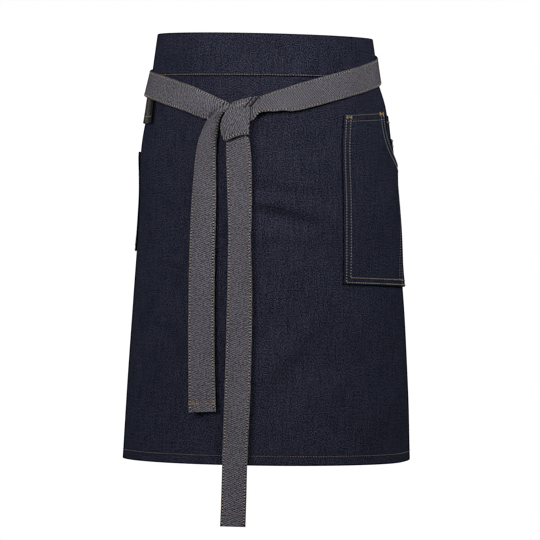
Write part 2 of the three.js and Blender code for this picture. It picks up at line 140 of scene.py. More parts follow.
# Patch pockets: ends along the cloth, foot at the left end and its fall along the patch, share of
# the cloth's thickness, standoff at the sewn edges, swell away from them and the height over which
# it grows, standoff added at the mouth from a place on, and standoff added at the heel
BIG_POCKET = {
    "left": 120.7, "right": 284.0, "foot": -265.0, "fall": 0.036, "layer": 1.0, "lift": 0.9,
    "swell": 2.6, "spring": 75.0, "mouth": 1.2, "mouth_from": 185.0, "heel": 0.75,
}
FACING = {
    "left": 200.0, "right": 274.0, "foot": -172.0, "fall": 0.0, "layer": 0.84, "lift": 0.3,
    "swell": 0.0, "spring": 20.0, "mouth": 0.0, "mouth_from": 0.0, "heel": 0.0, "top": -67.0,
}
COIN_POCKET = {
    "left": 214.0, "right": 262.0, "foot": -168.0, "fall": 0.0, "layer": 1.0, "lift": 1.6,
    "swell": 0.3, "spring": 20.0, "mouth": 0.0, "mouth_from": 0.0, "heel": 0.0, "top": -94.6,
}
SMALL_POCKET = {
    "left": -298.0, "right": -183.0, "foot": -231.0, "fall": 0.0, "layer": 1.0, "lift": 0.5,
    "swell": 0.0, "spring": 20.0, "mouth": 0.8, "mouth_from": -330.0, "heel": 0.5, "top": -113.0,
}
BIG_TOP_LEFT, BIG_TOP_CORNER = -68.4, -64.0
SCOOP_START, SCOOP_REACH, SCOOP_DEPTH, SCOOP_PARTS = 185.0, 64.0, 62.0, 22

# Where a patch's mouth and heel stand off: distances from its edge, and the run over which it grows
MOUTH_REACH, MOUTH_RUN = (4, 28), 25
HEEL_REACH, HEEL_RUN = (4, 30), 60

# The tape loop: ends along the cloth, top, foot, standoff, its slit at the foot, at the seam and
# the height over which it opens, and the round of its foot outside and inside
LOOP = {
    "front": -133.0, "back": -163.0, "top": SEAM - 0.5, "foot": -80.5, "lift": 1.0, "slit": 1.3,
    "pinch": 0.3, "opens": 30.0, "round": 1.0,
    "inner_foot": 1.6, "inner_top": 1.5, "inner_round": 0.2,
}
LOOP_EDGE = 0.5

# Middle of the knot on the cloth
KNOT_S, KNOT_Z = -3.8, -78.0

# The strap round the viewer's left: angle, height, standoff
LEFT_ROUND = np.array([
    (162, -8, 4), (171, -10, 4), (180, -18, 4), (189, -27, 4), (202, -29, 4.2),
    (240, -28.5, 4.4), (262, -29, 4.7), (282, -32.3, 5.5), (303.5, -37.7, 5.5),
    (314, -42, 4.4), (324, -47.2, 3.9),
])

# Its turn and short tail: edge a across and up, edge b across and up, standoff, lift of b
LEFT_TURN = np.array([
    (-53.6, 39, -67.3, 11, 3.9, 0), (-40, 33.4, -53, 6.1, 3.9, 0), (-30, 29.5, -44, 3.3, 3.9, 0),
    (-20.5, 25.4, -37.6, 1.9, 3.9, 0), (-12.5, 22, -36.6, 1.5, 3.9, 0),
    (-9, 18.6, -36.6, 1.3, 3.9, 0), (-11.5, 14, -36.8, 0.9, 3.8, 0),
    (-17.4, 8, -37.4, -0.4, 3.6, 0), (-20.4, 2, -39.2, -3.6, 3.4, 0),
    (-21.3, -8, -42.2, -10.5, 3.3, 0), (-22.4, -18, -45.4, -18.6, 3.4, 0.4),
    (-23.2, -29, -47.6, -29.5, 3.6, 1), (-23.9, -45.5, -49.7, -45.5, 3.9, 1.8),
    (-24, -57, -50.9, -57, 4, 2.4), (-24.9, -100, -54.4, -100, 4.4, 4.4),
    (-25.7, -152, -55.7, -152, 4.8, 5.2), (-25.7, -210, -56, -210, 5, 5.4),
    (-24.5, -268, -55.2, -268, 5, 5), (-22, -320, -53.8, -320.5, 5.4, 4),
    (-20.8, -336, -52.9, -338, 5.8, 3.6),
])

# The strap round the viewer's right: angle, height, standoff
RIGHT_ROUND = np.array([
    (198, 8.8, 4), (192, 8.8, 4.2), (186, 8.6, 6.2), (172, 7, 6.3), (160, 4.5, 6.2),
    (146, 0.5, 4.2), (120, -7, 4), (98, -14, 4), (82, -20, 4), (66, -27.3, 4),
    (51, -35, 3.9), (39, -42, 3.9), (29, -48.4, 4),
])

# Its entry, wrap and long tail: edge a across and up, edge b across and up, standoff, push
RIGHT_WRAP = np.array([
    (58, 39.9, 62.5, 12, 4.2, 0), (49.5, 37, 52.5, 12.4, 4.6, 0), (41.5, 34.2, 43.5, 11.3, 5, 0),
    (34, 31.2, 34, 11, 5.6, 0), (29.4, 29.4, 25.6, 8.8, 6.2, 0), (27.4, 28.4, 17.5, -0.5, 6.8, 0),
    (26.4, 27.9, 8.5, 1.5, 7, 0), (25.3, 27.2, 6.4, 2.4, 2.5, 0),
    (23.5, 27.2, 3.8, 2.6, 2.5, 0), (22.4, 28, 2.6, 2.6, 7.2, 0),
    (20.8, 28, 1.2, 2.5, 7.2, 0), (19.8, 27.6, 0.2, 2.5, 2.6, 0),
    (17.9, 27.6, -1.7, 2.5, 2.6, 0), (16.8, 27.4, -2.8, 2.4, 7, 0),
    (11, 26.2, -4.6, -0.5, 6.8, 0), (4.4, 24.6, -6.2, -5, 6.6, 0), (-2.5, 22.3, -7.4, -9.5, 6.3, 1),
    (-7.6, 19.6, -9, -15, 6.2, 3), (-10, 14.6, -10.2, -21, 7, 6), (-9.9, 11.4, -10.6, -24, 9.2, 7),
    (-6.4, 11.2, -7, -23.4, 11.4, 5), (0, 12.2, 0, -20.2, 11.9, 1.5), (7, 13.4, 7, -17.8, 11.8, 0),
    (12.4, 14.6, 12.8, -16.8, 11.2, 0), (15.2, 15.2, 15.5, -16.6, 10, 0), (12.2, 14.4, 13, -16.4, 8.4, 0),
    (1, 10, 12.6, -16.8, 8.2, 0), (-6.6, 2, 12.8, -17, 8.2, 0),
    (-9.8, -9, 13.8, -18.4, 8.2, 0), (-10.2, -22, 16.8, -22.6, 8, 0),
    (-10.2, -38, 18.7, -38, 7.2, 0), (-10.2, -57, 19, -57, 6.6, 0),
    (-10, -100, 18, -100, 6, 0), (-9.6, -140, 17.3, -140, 5.8, 0), (-10.2, -200, 19.2, -200, 5.6, 0),
    (-11, -300, 19.5, -300, 5.6, 0), (-11.2, -390, 18.4, -390, 5.4, 0),
    (-12.6, -440, 17.3, -440, 5, 0), (-13.8, -468.8, 16.3, -468.8, 4.8, 0),
])

# Across a strap, in shares of its half width: mesh points, start of the round edge, rows of stitches
STRAP_ACROSS = np.array([0.2, 0.4, 0.6, 0.74, 0.8, 0.835, 0.865, 0.895, 0.93, 0.96, 0.985, 1])
STRAP_ROUND, EDGE_STITCH, THINNEST = 0.95, 0.865, 0.02

# A stitch in shares of its size: place and fatness of its rings, arch of its middle and sink
STITCH_SIDES = 6
STITCH_RINGS = np.array([(-0.36, 0.8), (0.0, 1.0), (0.36, 0.8)])
STITCH_ARCH, STITCH_SINK = 0.45, 0.12

# A common stitch: its length as a share of the pitch, and its height
STITCH_SHARE, STITCH_HEIGHT = 0.5, 0.7

# A needle hole's painted shade, a dark lens in the gap: share of a stitch that hides it, least gap,
# half length and half width in shares of the gap and the thread, and heights of its ring, top and bottom
HOLE_HIDDEN, HOLE_GAP, HOLE_LONG, HOLE_WIDE = 0.8, 0.5, 0.5, 0.72
HOLE_RING, HOLE_TOP, HOLE_FOOT = 0.08, 0.12, -0.1

# Sewn pieces: finish, then length, width and height of a stitch, and the pitch, where they aren't
# the common ones
STITCHES = {
    "stitch_waistband": ("tan_thread", (1.6, 1.0, 0.6), None),
    "stitch_hem": ("tan_thread", (1.3, 0.8, 0.5), None),
    "stitch_pocket_sides": ("pale_thread", (1.3, 1.5, 0.7), 3.3),
    "stitch_pocket_foot": ("tan_thread", (1.9, 1.4, 0.7), None),
    "stitch_pocket_top": ("tan_thread", (1.8, 0.7, 0.45), None),
    "stitch_scoop": ("pale_thread", (1.5, 1.6, 0.7), None),
    "stitch_coin_patch": ("pale_thread", (2.4, 1.8, 1.1), None),
    "stitch_small_pocket": ("tan_thread", None, None),
    "stitch_tape_loop": ("tan_thread", None, None),
    "stitch_strap_left": ("strap_thread", (1.7, 1.4, 0.7), 3.45),
    "stitch_strap_right": ("strap_thread", (1.7, 1.4, 0.7), 3.45),
    "bar_tacks_pocket": ("ochre_thread", (1.4, 0.8, 0.6), 1.4),
    "bar_tacks_straps": ("ochre_thread", (2.2, 0.9, 0.6), 2.2),
}

# Where the rows run: height over the waist seam, distances in from the hem's top and the side
# hem's inner edge, top of the side rows under the seam, and distance of a row's ends from an edge
BAND_STITCH, HEM_STITCH, SIDE_STITCH, SIDE_ROW_TOP, ROW_END = 1.0, 0.6, 0.8, 4.0, 2.0
STRAP_ROW_ENDS = (4.0, 2.0)

# What stitches and tacks sit on: shares of a strap's half thickness, height over the pocket's face
STITCH_SEAT, TACK_SEAT, POCKET_SEAT = 0.7, 0.98, 0.1

# The large pocket's double rows: distance from the sides, rise over the foot, drop under the top
# edge at its two ends, and shift of the row beside the slot
POCKET_ROWS = ((3.4, 1.8, (1.8, 1.8), 5.0), (8.7, 7.4, (8.6, 9.1), -4.0))
SLOT_LEAN, SLOT_TOP = np.array([235.4, 217.0]), -133.0
SCOOP_ROWS, SCOOP_ROW_START, SCOOP_ROW_POINTS = (2.0, 8.0), 0.02, 30

# Rows on the other patches and the loop, by their distance from an edge or their place
FACING_ROW, COIN_ROWS, COIN_ROW_START = 8.0, (2.2, 8.2), 0.2
SMALL_ROWS, SMALL_HEM, SMALL_ROW_TOP = (2.2, 7.4), 27.0, 1.0
LOOP_ROWS, LOOP_ROW_TOP, LOOP_ROW_FOOT, LOOP_CROSS_ROW = (-146.5, -157.0), 1.0, 3.0, 8.0

# The plain crescent over the knot and the short row on it: places from the knot's middle, fewest
# points of a run that is left, and the row's place across the strap
CRESCENT_MIDDLE, CRESCENT_HALF, CRESCENT_FOOT, LEAST_RUN = 6.0, 21.0, 11.0, 4
KNOT_ROW_ACROSS, KNOT_ROW_MIDDLE, KNOT_ROW_HALF = 0.5, (4.0, 19.0), (9.0, 5.0)

# Bar tacks on the large pocket: corner along the cloth and up, half distance of the doubled lines,
# the bar's ends and drop, and each leg's place, first drop and last drop
POCKET_TACKS = (
    (BIG_POCKET["left"], BIG_TOP_LEFT, 0.4, (4.0, 9.8, 3.2), ((4.4, 1.0, 5.2), (9.4, 1.2, 5.6))),
    (SCOOP_START, BIG_TOP_CORNER, 0.5, (-10.4, -2.4, 2.6), ((-10.0, 0.2, 5.0), (-2.8, 0.2, 5.0))),
)

# Bar tacks on the straps: strap, front face, distance from its end, lines, and bars across it
STRAP_TACKS = (
    ("left", 1, 11.0, (0.0, 0.9, 1.8), ((-1.0, -0.2), (0.2, 1.0))),
    ("right", -1, 14.0, (0.0, 0.8), ((-0.85, -0.3), (0.4, 0.94))),
)
BACK_TACK, TACK_POINTS = (-0.93, 0.93), 12

# Painted light on the front and shade round the hips, in metres from the middle and as shares of the colour
PAINTED_LIGHT_MIDDLE, PAINTED_LIGHT_REACH = 0.02, (0.03, 0.16)
PAINTED_LIGHT_FRONT, PAINTED_SHADE_SIDE = (1.12, 1.12, 1.12, 1), (0.85, 0.925, 0.97, 1)

# Denim finishes: colour of the dyed yarn, of the flecks, share of the flecks' colour and of flecks
DENIMS = {
    "indigo_face": ("indigo", "indigo_fleck", 1.0, 0.62),
    "indigo_reverse": ("reverse", "reverse_fleck", 1.0, 0.7),
    # Face denim with dim flecks, for painted shade along the patches' edges
    "indigo_edge": ("indigo", "indigo_fleck", 0.25, 0.5),
}
FLECK_WARM, FLECK_COOL = (1.09, 1.0, 0.95), (0.91, 1.0, 1.05)

# Painted shade on the tape's edges: metres from its middle where it starts and is full, and its share
TAPE_EDGE_SHADE, EDGE_SHADE_SHARE = (0.003, 0.011), 0.85
# Deeper tone of the painted needle-hole shade, as a share of its colour
HOLE_SHADE = 0.5

# The stage, in metres and watts. Lamps: place, side and power.
LAMPS = {
    "near_lamp": ((-0.248, -0.819, 0.420), 0.35, 1.86),
    "left_lamp": ((-1.130, -1.446, 0.380), 0.7, 13.3),
    "right_lamp": ((1.322, -0.703, 1.020), 0.7, 21.0),
    "back_lamp": ((-0.520, 1.940, 0.300), 0.7, 18.0),
}
LAMP_AIM = (0.0, 0.0, -0.2)
FLOOR_Z, FLOOR_HALF, FLOOR_POINTS, FLOOR_GLOW = -1.6, 6.0, 13, 0.62
WORLD_LIGHT, WORLD_SEEN = 0.03, 0.97
EYE, EYE_AIM, LENS, SENSOR = (1.1689, -4.3455, -0.198), (0.00425, 0.00114, -0.2515), 252.5, 36.0
SHARPEN, SCREEN_GAMMA = 0.085, 2.2


# Shapes of the cloth

def smooth_curve(knots, values, x):
    """Cubic through values at rising knots; the slope at a knot is the chord of its neighbours."""
    knots, values = np.asarray(knots, float), np.asarray(values, float)
    last = len(knots) - 1
    x = np.clip(np.asarray(x, float), knots[0], knots[last])
    i = np.clip(np.searchsorted(knots, x) - 1, 0, last - 1)
    number = np.arange(last + 1)
    after, before = np.minimum(number + 1, last), np.maximum(number - 1, 0)
    wide = (slice(None),) + (None,) * (values.ndim - 1)
    slope = (values[after] - values[before]) / (knots[after] - knots[before])[wide]
    span = knots[i + 1] - knots[i]
    t = (x - knots[i]) / span
    if values.ndim > 1:
        t, span = t[..., None], span[..., None]
    rise = values[i + 1] * t * t * (3 - 2 * t) + values[i] * (1 + 2 * t) * (1 - t) ** 2
    return rise + span * t * (1 - t) * (slope[i] * (1 - t) - slope[i + 1] * t)


def smooth_step(x, low, high):
    """0 below low, 1 above high, 3t^2 - 2t^3 between them."""
    t = np.clip((x - low) / (high - low), 0, 1)
    return t * t * (3 - 2 * t)


def dent(distance, depth, reach):
    """Groove pressed in by a row of stitches: depth e^-(d/reach)^2."""
    return depth * np.exp(-((distance / reach) ** 2))


def unit(v):
    """Vectors at length one."""
    return v / np.maximum(np.linalg.norm(v, axis=-1, keepdims=True), 1e-9)


def run_along(points):
    """Distance of each point of a line from the first, along the line."""
    return np.concatenate([[0], np.cumsum(np.linalg.norm(np.diff(points, axis=0), axis=1))])


def spread(*marks, step):
    """Rising stations through every mark, no further apart than step."""
    marks = np.unique(np.round(marks, 4))
    counts = np.maximum(np.ceil(np.diff(marks) / step).astype(int), 1)
    parts = [np.linspace(a, b, n, endpoint=False) for a, b, n in zip(marks, marks[1:], counts)]
    return np.concatenate(parts + [marks[-1:]])


def angle_table():
    """Angle round the form for each length along the cloth (columns) at each height (rows)."""
    z = np.arange(ANGLE_LOW, ANGLE_HIGH, ANGLE_RISE)
    s = np.arange(0.0, ANGLE_FAR, ANGLE_STEP)
    edges = np.linspace(0, np.pi, ANGLE_PARTS + 1)
    middle = (edges[1:] + edges[:-1]) / 2
    size = smooth_curve(FORM[:, 0], FORM[:, 1:3], z)
    steps = np.hypot(size[:, :1] * np.cos(middle), size[:, 1:] * np.sin(middle)) * np.pi / ANGLE_PARTS
    run = np.concatenate([np.zeros((len(z), 1)), np.cumsum(steps, axis=1)], axis=1)
    return np.stack([np.interp(s, row, edges) for row in run])


ANGLES = angle_table()


def angle_at(s, z):
    """Angle for a length along the cloth, read from the table by bilinear steps."""
    inside = 1.001
    row = np.clip((np.asarray(z, float) - ANGLE_LOW) / ANGLE_RISE, 0, ANGLES.shape[0] - inside)
    col = np.clip(np.abs(s) / ANGLE_STEP, 0, ANGLES.shape[1] - inside)
    i, j = row.astype(int), col.astype(int)
    u, v = row - i, col - j
    low = ANGLES[i, j] * (1 - v) + ANGLES[i, j + 1] * v
    high = ANGLES[i + 1, j] * (1 - v) + ANGLES[i + 1, j + 1] * v
    return np.sign(s) * (low * (1 - u) + high * u)


def floats_alike(*values):
    """Values as arrays of numbers with one common shape."""
    return np.broadcast_arrays(*(np.asarray(v, float) for v in values))


def on_form(angle, z, off):
    """Ellipse point a sin, -b cos at height z, moved off along its normal, dropped and shifted."""
    angle, z, off = floats_alike(angle, z, off)
    a, b, side, drop = np.moveaxis(smooth_curve(FORM[:, 0], FORM[:, 1:], z), -1, 0)
    above, below = (smooth_curve(FORM[:, 0], FORM[:, 1:3], z + half) for half in (0.5, -0.5))
    grow = above - below
    sin, cos = np.sin(angle), np.cos(angle)
    round_way = np.stack([a * cos, b * sin, np.zeros_like(a)], -1)
    rise_way = np.stack([grow[..., 0] * sin, -grow[..., 1] * cos, np.ones_like(a)], -1)
    normal = unit(np.cross(round_way, rise_way))
    point = np.stack([a * sin, -b * cos, z], -1) + normal * off[..., None]
    point[..., 2] -= drop * point[..., 0]
    point[..., 0] += side
    return point


def fold(s, z):
    """Sum of bell-shaped folds along the cloth, each growing from its start height to the hem."""
    s, z = np.asarray(s, float)[..., None], np.asarray(z, float)[..., None]
    place, depth, reach, start = FOLDS.T
    along = smooth_step(-z, -start, -HEM)
    return (depth * along * np.exp(-(((s - place) / reach) ** 2))).sum(-1)


def ease(s, z):
    """Small uneven waves of worn cloth, under a millimetre, still at the waist seam."""
    calm = smooth_step(-z, -SEAM, -WAVES_FULL)
    slow = sum(depth * np.sin(s / along + z / up + start) for depth, along, up, start in WAVES)
    return WAVE_SHARE * calm * slow


def crease(s, z):
    """Sum of creases d e^(-d d) across their lines, lower cloth tucked in, fading out along them."""
    s, z = np.asarray(s, float)[..., None], np.asarray(z, float)[..., None]
    from_s, from_z, to_s, to_z, reach, depth = CREASES.T
    length = np.hypot(to_s - from_s, to_z - from_z)
    side, rise = (to_s - from_s) / length, (to_z - from_z) / length
    along = ((s - from_s) * side + (z - from_z) * rise) / length
    across = ((z - from_z) * side - (s - from_s) * rise) / reach
    share = smooth_step(along, *CREASE_STARTS) * (1 - smooth_step(along, *CREASE_ENDS))
    return (depth * share * CREASE_PEAK * across * np.exp(-across ** 2)).sum(-1)


def on_cloth(s, z, off):
    """Point on the worn cloth at a length round from the front, a height and a standoff."""
    s, z, off = floats_alike(s, z, off)
    return on_form(angle_at(s, z), z, off + fold(s, z) + ease(s, z) + crease(s, z))


# Meshes

def new_piece(name, verts, faces, uv, materials, face_material=None):
    """A mesh object at the origin from points in millimetres, with its UV in metres."""
    mesh = bpy.data.meshes.new(name)
    mesh.from_pydata((verts * MM).tolist(), [], [f for block in faces for f in block.tolist()])
    corner = np.empty(len(mesh.loops), np.int32)
    mesh.loops.foreach_get("vertex_index", corner)
    layer = mesh.uv_layers.new(name="cloth")
    layer.data.foreach_set("uv", (uv[corner] * MM).astype(np.float32).ravel())
    mesh.polygons.foreach_set("use_smooth", np.ones(len(mesh.polygons), bool))
    for material in materials:
        mesh.materials.append(material)
    if face_material is not None:
        mesh.polygons.foreach_set("material_index", face_material.astype(np.int32))
    mesh.set_sharp_from_angle(angle=np.radians(SHARP_ANGLE))
    mesh.validate()
    mesh.update()
    piece = bpy.data.objects.new(name, mesh)
    bpy.context.scene.collection.objects.link(piece)
    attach(piece, "root")
    return piece


def ring_walls(count, around):
    """Point numbers by ring and place, and the quads between each ring and the next."""
    p = np.arange(count * around).reshape(count, around)
    q = np.roll(p, -1, axis=1)
    return p, np.stack([p[:-1], q[:-1], q[1:], p[1:]], -1).reshape(-1, 4)


def ring_loft(rings, uv):
    """Closed body from rings (stations, points round, 3); the two ends are strips of quads.

    A ring is an outer row followed by the inner row turned back, of equal length.
    Faces of the inner row are marked 1.
    """
    count, around = rings.shape[:2]
    p, walls = ring_walls(count, around)
    row = around // 2
    place = np.arange(around)
    inside = np.tile((place >= row) & (place < around - 1), count - 1)
    j = np.arange(row - 1)
    cap = np.stack([j, around - 1 - j, around - 2 - j, j + 1], -1)
    caps = np.concatenate([cap, p[-1, 0] + cap[:, ::-1]])
    marks = np.concatenate([inside, np.zeros(len(caps), bool)])
    return rings.reshape(-1, 3), [walls, caps], uv.reshape(-1, 2), marks


def stitch_ring():
    """Number of points of a stitch's ring, their numbers, the next ones' numbers and angles."""
    k = np.arange(STITCH_SIDES)
    return STITCH_SIDES, k, (k + 1) % STITCH_SIDES, k * 2 * np.pi / STITCH_SIDES


def stitch_form(size):
    """Points, quads and end triangles of one stitch, x along the line, y across it and z up.

    Three rings between two poles, an arch that rises from the cloth and sinks again at its ends.
    """
    length, width, height = size
    m, k, n, turn = stitch_ring()
    place, fat = STITCH_RINGS.T[:, :, None]
    rings = np.stack(np.broadcast_arrays(place, fat * np.cos(turn), fat * np.sin(turn)), -1)
    shape = np.concatenate([[[-0.5, 0, 0]], rings.reshape(-1, 3), [[0.5, 0, 0]]])
    points = shape * [length, width / 2, height / 2]
    points[:, 2] += STITCH_ARCH * height * (1 - 4 * shape[:, 0] ** 2) - STITCH_SINK * height
    walls = [np.stack([r + m + k, r + m + n, r + n, r + k], -1) for r in (1, 1 + m)]
    tip, last = len(shape) - 1, 1 + 2 * m
    ends = [np.stack([1 + n, 1 + k, 0 * k], -1), np.stack([last + k, last + n, tip + 0 * k], -1)]
    return points, np.concatenate(walls), np.concatenate(ends)


def hole_shade_form(gap, width):
    """Points and triangles of a needle hole's painted shade: a flat lens, a ring of points between two
    poles.
    """
    m, k, n, turn = stitch_ring()
    ring = np.stack([HOLE_LONG * gap * np.cos(turn), HOLE_WIDE * width * np.sin(turn),
                     0 * turn + HOLE_RING], -1)
    faces = [np.stack([k, n, m + 0 * k], -1), np.stack([n, k, m + 1 + 0 * k], -1)]
    return np.concatenate([ring, [[0, 0, HOLE_TOP], [0, 0, HOLE_FOOT]]]), np.concatenate(faces)


def thread_stitches(lines, pitch, size):
    """Stitches along lines of (points, normals), with a dark lens of painted needle-hole shade after each.

    Each form is turned into the line's own frame: along it, across it and along the normal.
    """
    form, walls, ends = stitch_form(size)
    hole, rims = hole_shade_form(max(pitch - HOLE_HIDDEN * size[0], HOLE_GAP), size[1])
    reach = 0.6
    points, holes = [], []
    for line, normal in lines:
        run = run_along(line)
        number = max(int(run[-1] / pitch + 0.5), 1)
        at = (np.arange(number) + 0.5) * run[-1] / number
        along = unit(point_at(at + reach, run, line) - point_at(at - reach, run, line))
        across = unit(np.cross(unit(point_at(at, run, normal)), along))
        frames = np.stack([along, across, np.cross(along, across)], 1)
        points.append(point_at(at, run, line)[:, None, :] + form @ frames)
        holes.append(point_at(at + pitch / 2, run, line)[:, None, :] + hole @ frames)
    points, holes = np.concatenate(points), np.concatenate(holes)
    count = len(points)
    verts = np.concatenate([points.reshape(-1, 3), holes.reshape(-1, 3)])
    shift = (np.arange(count) * len(form))[:, None, None]
    hole_shift = count * len(form) + (np.arange(count) * len(hole))[:, None, None]
    faces = [(shift + walls).reshape(-1, 4), (shift + ends).reshape(-1, 3),
             (hole_shift + rims).reshape(-1, 3)]
    # The lenses, marked 1, take the painted needle-hole shade
    marks = np.repeat([0, 0, 1], [len(block) for block in faces])
    return verts, faces, verts[:, :2], marks


def point_at(distance, run, points):
    """Points at some distances along a line, by straight steps between its own."""
    return np.stack([np.interp(distance, run, points[:, c]) for c in range(3)], -1)


def cloth_line(s, z, off):
    """A line on the cloth through (s, z) at a standoff, with its outward normals."""
    s, z = floats_alike(s, z)
    steps = run_along(np.stack([s, z], -1))
    fine = np.linspace(0, steps[-1], max(int(steps[-1] / LINE_STEP), 2) + 1)
    s, z = np.interp(fine, steps, s), np.interp(fine, steps, z)
    height = off(s, z) if callable(off) else np.full_like(s, off)
    base = on_cloth(s, z, height)
    return base, on_cloth(s, z, height + 1.0) - base


# Pieces

def sheet_rings(s, levels, outer_off, inner_off):
    """Rings of a cloth shell: outer row from the top down, then the inner row back up."""
    outer = on_cloth(s, levels, outer_off)
    inner = on_cloth(s, levels, inner_off)
    rings = np.concatenate([outer[:, ::-1], inner], axis=1)
    flat = np.stack(np.broadcast_arrays(s, levels), -1)
    return rings, np.concatenate([flat[:, ::-1], flat], axis=1)


def panel_shape(cloth):
    """The skirt: two faces half the cloth to either side, doubled inside at hem and back edges."""
    hem_top, edge = HEM + HEM_HEIGHT, FLAT_HALF - SIDE_HEM
    levels = spread(HEM, HEM + EDGE_ROUND, HEM + EDGE_FIRM, *(hem_top + HEM_ROWS),
                    *(SEAM + SEAM_ROWS), SEAM + BAND_LAP - GAP, step=PANEL_RISE)
    marks = np.array([FLAT_HALF, FLAT_HALF - EDGE_ROUND, *(edge + SIDE_ROWS)])
    rounds = spread(*marks, *-marks, step=ROUND_STEP)
    s, z = rounds[:, None], levels[None, :]
    far = np.abs(s)
    dips = dent(z - hem_top + HEM_STITCH, *HEM_DENT) + dent(far - edge - SIDE_STITCH, *HEM_DENT)
    round_off = EDGE_FALL * (smooth_step(-z, -HEM - EDGE_ROUND, -HEM)
                             + smooth_step(far, FLAT_HALF - EDGE_ROUND, FLAT_HALF))
    doubled = (z <= hem_top) | ((far >= edge) & (z < SEAM - SIDE_HEM_DROP))
    inner = np.where(doubled, -1.5 * cloth + round_off, -cloth / 2)
    return sheet_rings(s, z, cloth / 2 - dips - round_off, inner)


def band_face(cloth):
    """Standoff of the waistband's outer face, which laps over the panel."""
    return cloth / 2 + GAP + cloth


def waistband_shape(cloth):
    """The band: a folded profile with a round top and a lap at its foot, carried round the waist."""
    face = band_face(cloth)
    inside = face - BAND_THICKNESS
    lap, shoulder = SEAM + BAND_LAP, TOP - BAND_ROUND
    z_out = np.concatenate([SEAM + BAND_ROWS[:-1],
                            spread(SEAM + BAND_ROWS[-1], shoulder, step=ROUND_STEP)])
    dip = dent(z_out - SEAM - BAND_DENT_RISE, *BAND_DENT)
    dip += EDGE_FALL * smooth_step(-z_out, -SEAM - BAND_EDGE_ROUND, -SEAM)
    arc = np.linspace(0, np.pi, BAND_ARC)[1:-1]
    top_off = (face + inside) / 2 + BAND_THICKNESS / 2 * np.cos(arc)
    top_z = shoulder + BAND_ROUND * np.sin(arc)
    z_in = spread(lap, shoulder, step=BAND_INNER_RISE)[::-1]
    leaf = [face - cloth, face - cloth + LEAF_FLARE]
    off = np.concatenate([face - dip, top_off, np.full(len(z_in), inside), leaf])
    z = np.concatenate([z_out, top_z, z_in, [lap, SEAM + LEAF_SHORT]])
    rounds = spread(-FLAT_HALF, FLAT_HALF, step=ROUND_STEP)
    depth, length, start = BAND_WAVE
    wave = depth * np.sin(rounds / length + start)[:, None]
    wave = wave * smooth_step(z, SEAM + BAND_WAVE_STARTS, TOP)
    rings = on_cloth(rounds[:, None], z[None, :], off[None, :] + wave)[:, ::-1]
    flat = np.stack(np.broadcast_arrays(rounds[:, None], z[None, :]), -1)[:, ::-1]
    return rings, flat


def big_pocket_top(s):
    """Straight top edge, then a quarter-round scoop that falls towards the back."""
    left = BIG_POCKET["left"]
    rise = (BIG_TOP_CORNER - BIG_TOP_LEFT) * (s - left) / (SCOOP_START - left)
    t = np.clip((s - SCOOP_START) / SCOOP_REACH, 0, 1)
    scoop = BIG_TOP_CORNER - SCOOP_DEPTH * np.sqrt(1 - (1 - t) ** 2)
    return np.where(s <= SCOOP_START, BIG_TOP_LEFT + rise, scoop)


def foot_at(size, s):
    """Height of a patch's foot, falling evenly along the patch."""
    return size["foot"] - size["fall"] * (s - size["left"])


def top_at(size, s):
    """Height of a patch's top edge."""
    return big_pocket_top(s) if size is BIG_POCKET else size["top"] + 0 * s


def patch_off(size, s, z):
    """Inner face of a patch: lifted at its sewn edges, swelling away from them, at mouth and heel."""
    s, z = np.asarray(s, float), np.asarray(z, float)
    left, starts = size["left"], size["mouth_from"]
    above, below = z - foot_at(size, s), top_at(size, s) - z
    inward = np.minimum(s - left, size["right"] - s)
    near = np.minimum(inward / SEWN_MARGIN, above / size["spring"])
    mouth = (1 - smooth_step(below, *MOUTH_REACH)) * smooth_step(s, starts, starts + MOUTH_RUN)
    heel = (1 - smooth_step(above, *HEEL_REACH)) * smooth_step(s, left, left + HEEL_RUN)
    swing = size["swell"] * smooth_step(near, 0, 1) + size["mouth"] * mouth + size["heel"] * heel
    return size_mm("cloth") / 2 + size["lift"] + swing


def patch_face(size, above=0.0):
    """Outer face of a patch, or a little above it, as a function of place."""
    return lambda s, z: patch_off(size, s, z) + size_mm("cloth") * size["layer"] + above


def patch_rounds(size):
    """Stations along a patch, closer at its ends and, on the large pocket, where the scoop starts."""
    left, right = size["left"], size["right"]
    starts = (left, left + EDGE_ROUND, left + EDGE_FIRM)
    ends = (right - EDGE_FIRM, right - EDGE_ROUND, right)
    if size is not BIG_POCKET:
        return spread(*starts, *ends, step=PATCH_STEP)
    bend = SCOOP_START + SCOOP_REACH * (1 - np.cos(np.linspace(0, np.pi / 2, SCOOP_PARTS)))
    return np.unique(np.round(np.concatenate([
        spread(*starts, SCOOP_START, step=ROUND_STEP), bend[1:],
        spread(SCOOP_START + SCOOP_REACH, *ends, step=ROUND_STEP)]), 4))


def patch_shape(size, rows):
    """A patch sewn on the panel: levels share out the height between its foot and its top edge."""
    share = np.unique(np.concatenate([np.linspace(0, 1, rows + 1), PATCH_EDGE_SHARES]))
    s = patch_rounds(size)[:, None]
    foot, high = foot_at(size, s), top_at(size, s)
    z = foot + (high - foot) * share
    inner = patch_off(size, s, z)
    inward = np.minimum(s - size["left"], size["right"] - s)
    edge = np.minimum(inward, np.minimum(z - foot, high - z))
    round_off = PATCH_FALL * (1 - smooth_step(edge, 0, PATCH_ROUND))
    return sheet_rings(s, z, inner + size_mm("cloth") * size["layer"] - round_off, inner)


def slit_at(z):
    """Slit between the loop's two leaves: pinched at the seam, opening downwards."""
    opening = smooth_step(LOOP["top"] - z, 0, LOOP["opens"])
    return LOOP["pinch"] + (LOOP["slit"] - LOOP["pinch"]) * opening


def loop_face(_, z):
    """Outer face of the tape loop, as a function of place."""
    return LOOP["lift"] + 2 * TAPE_THICKNESS + slit_at(z)


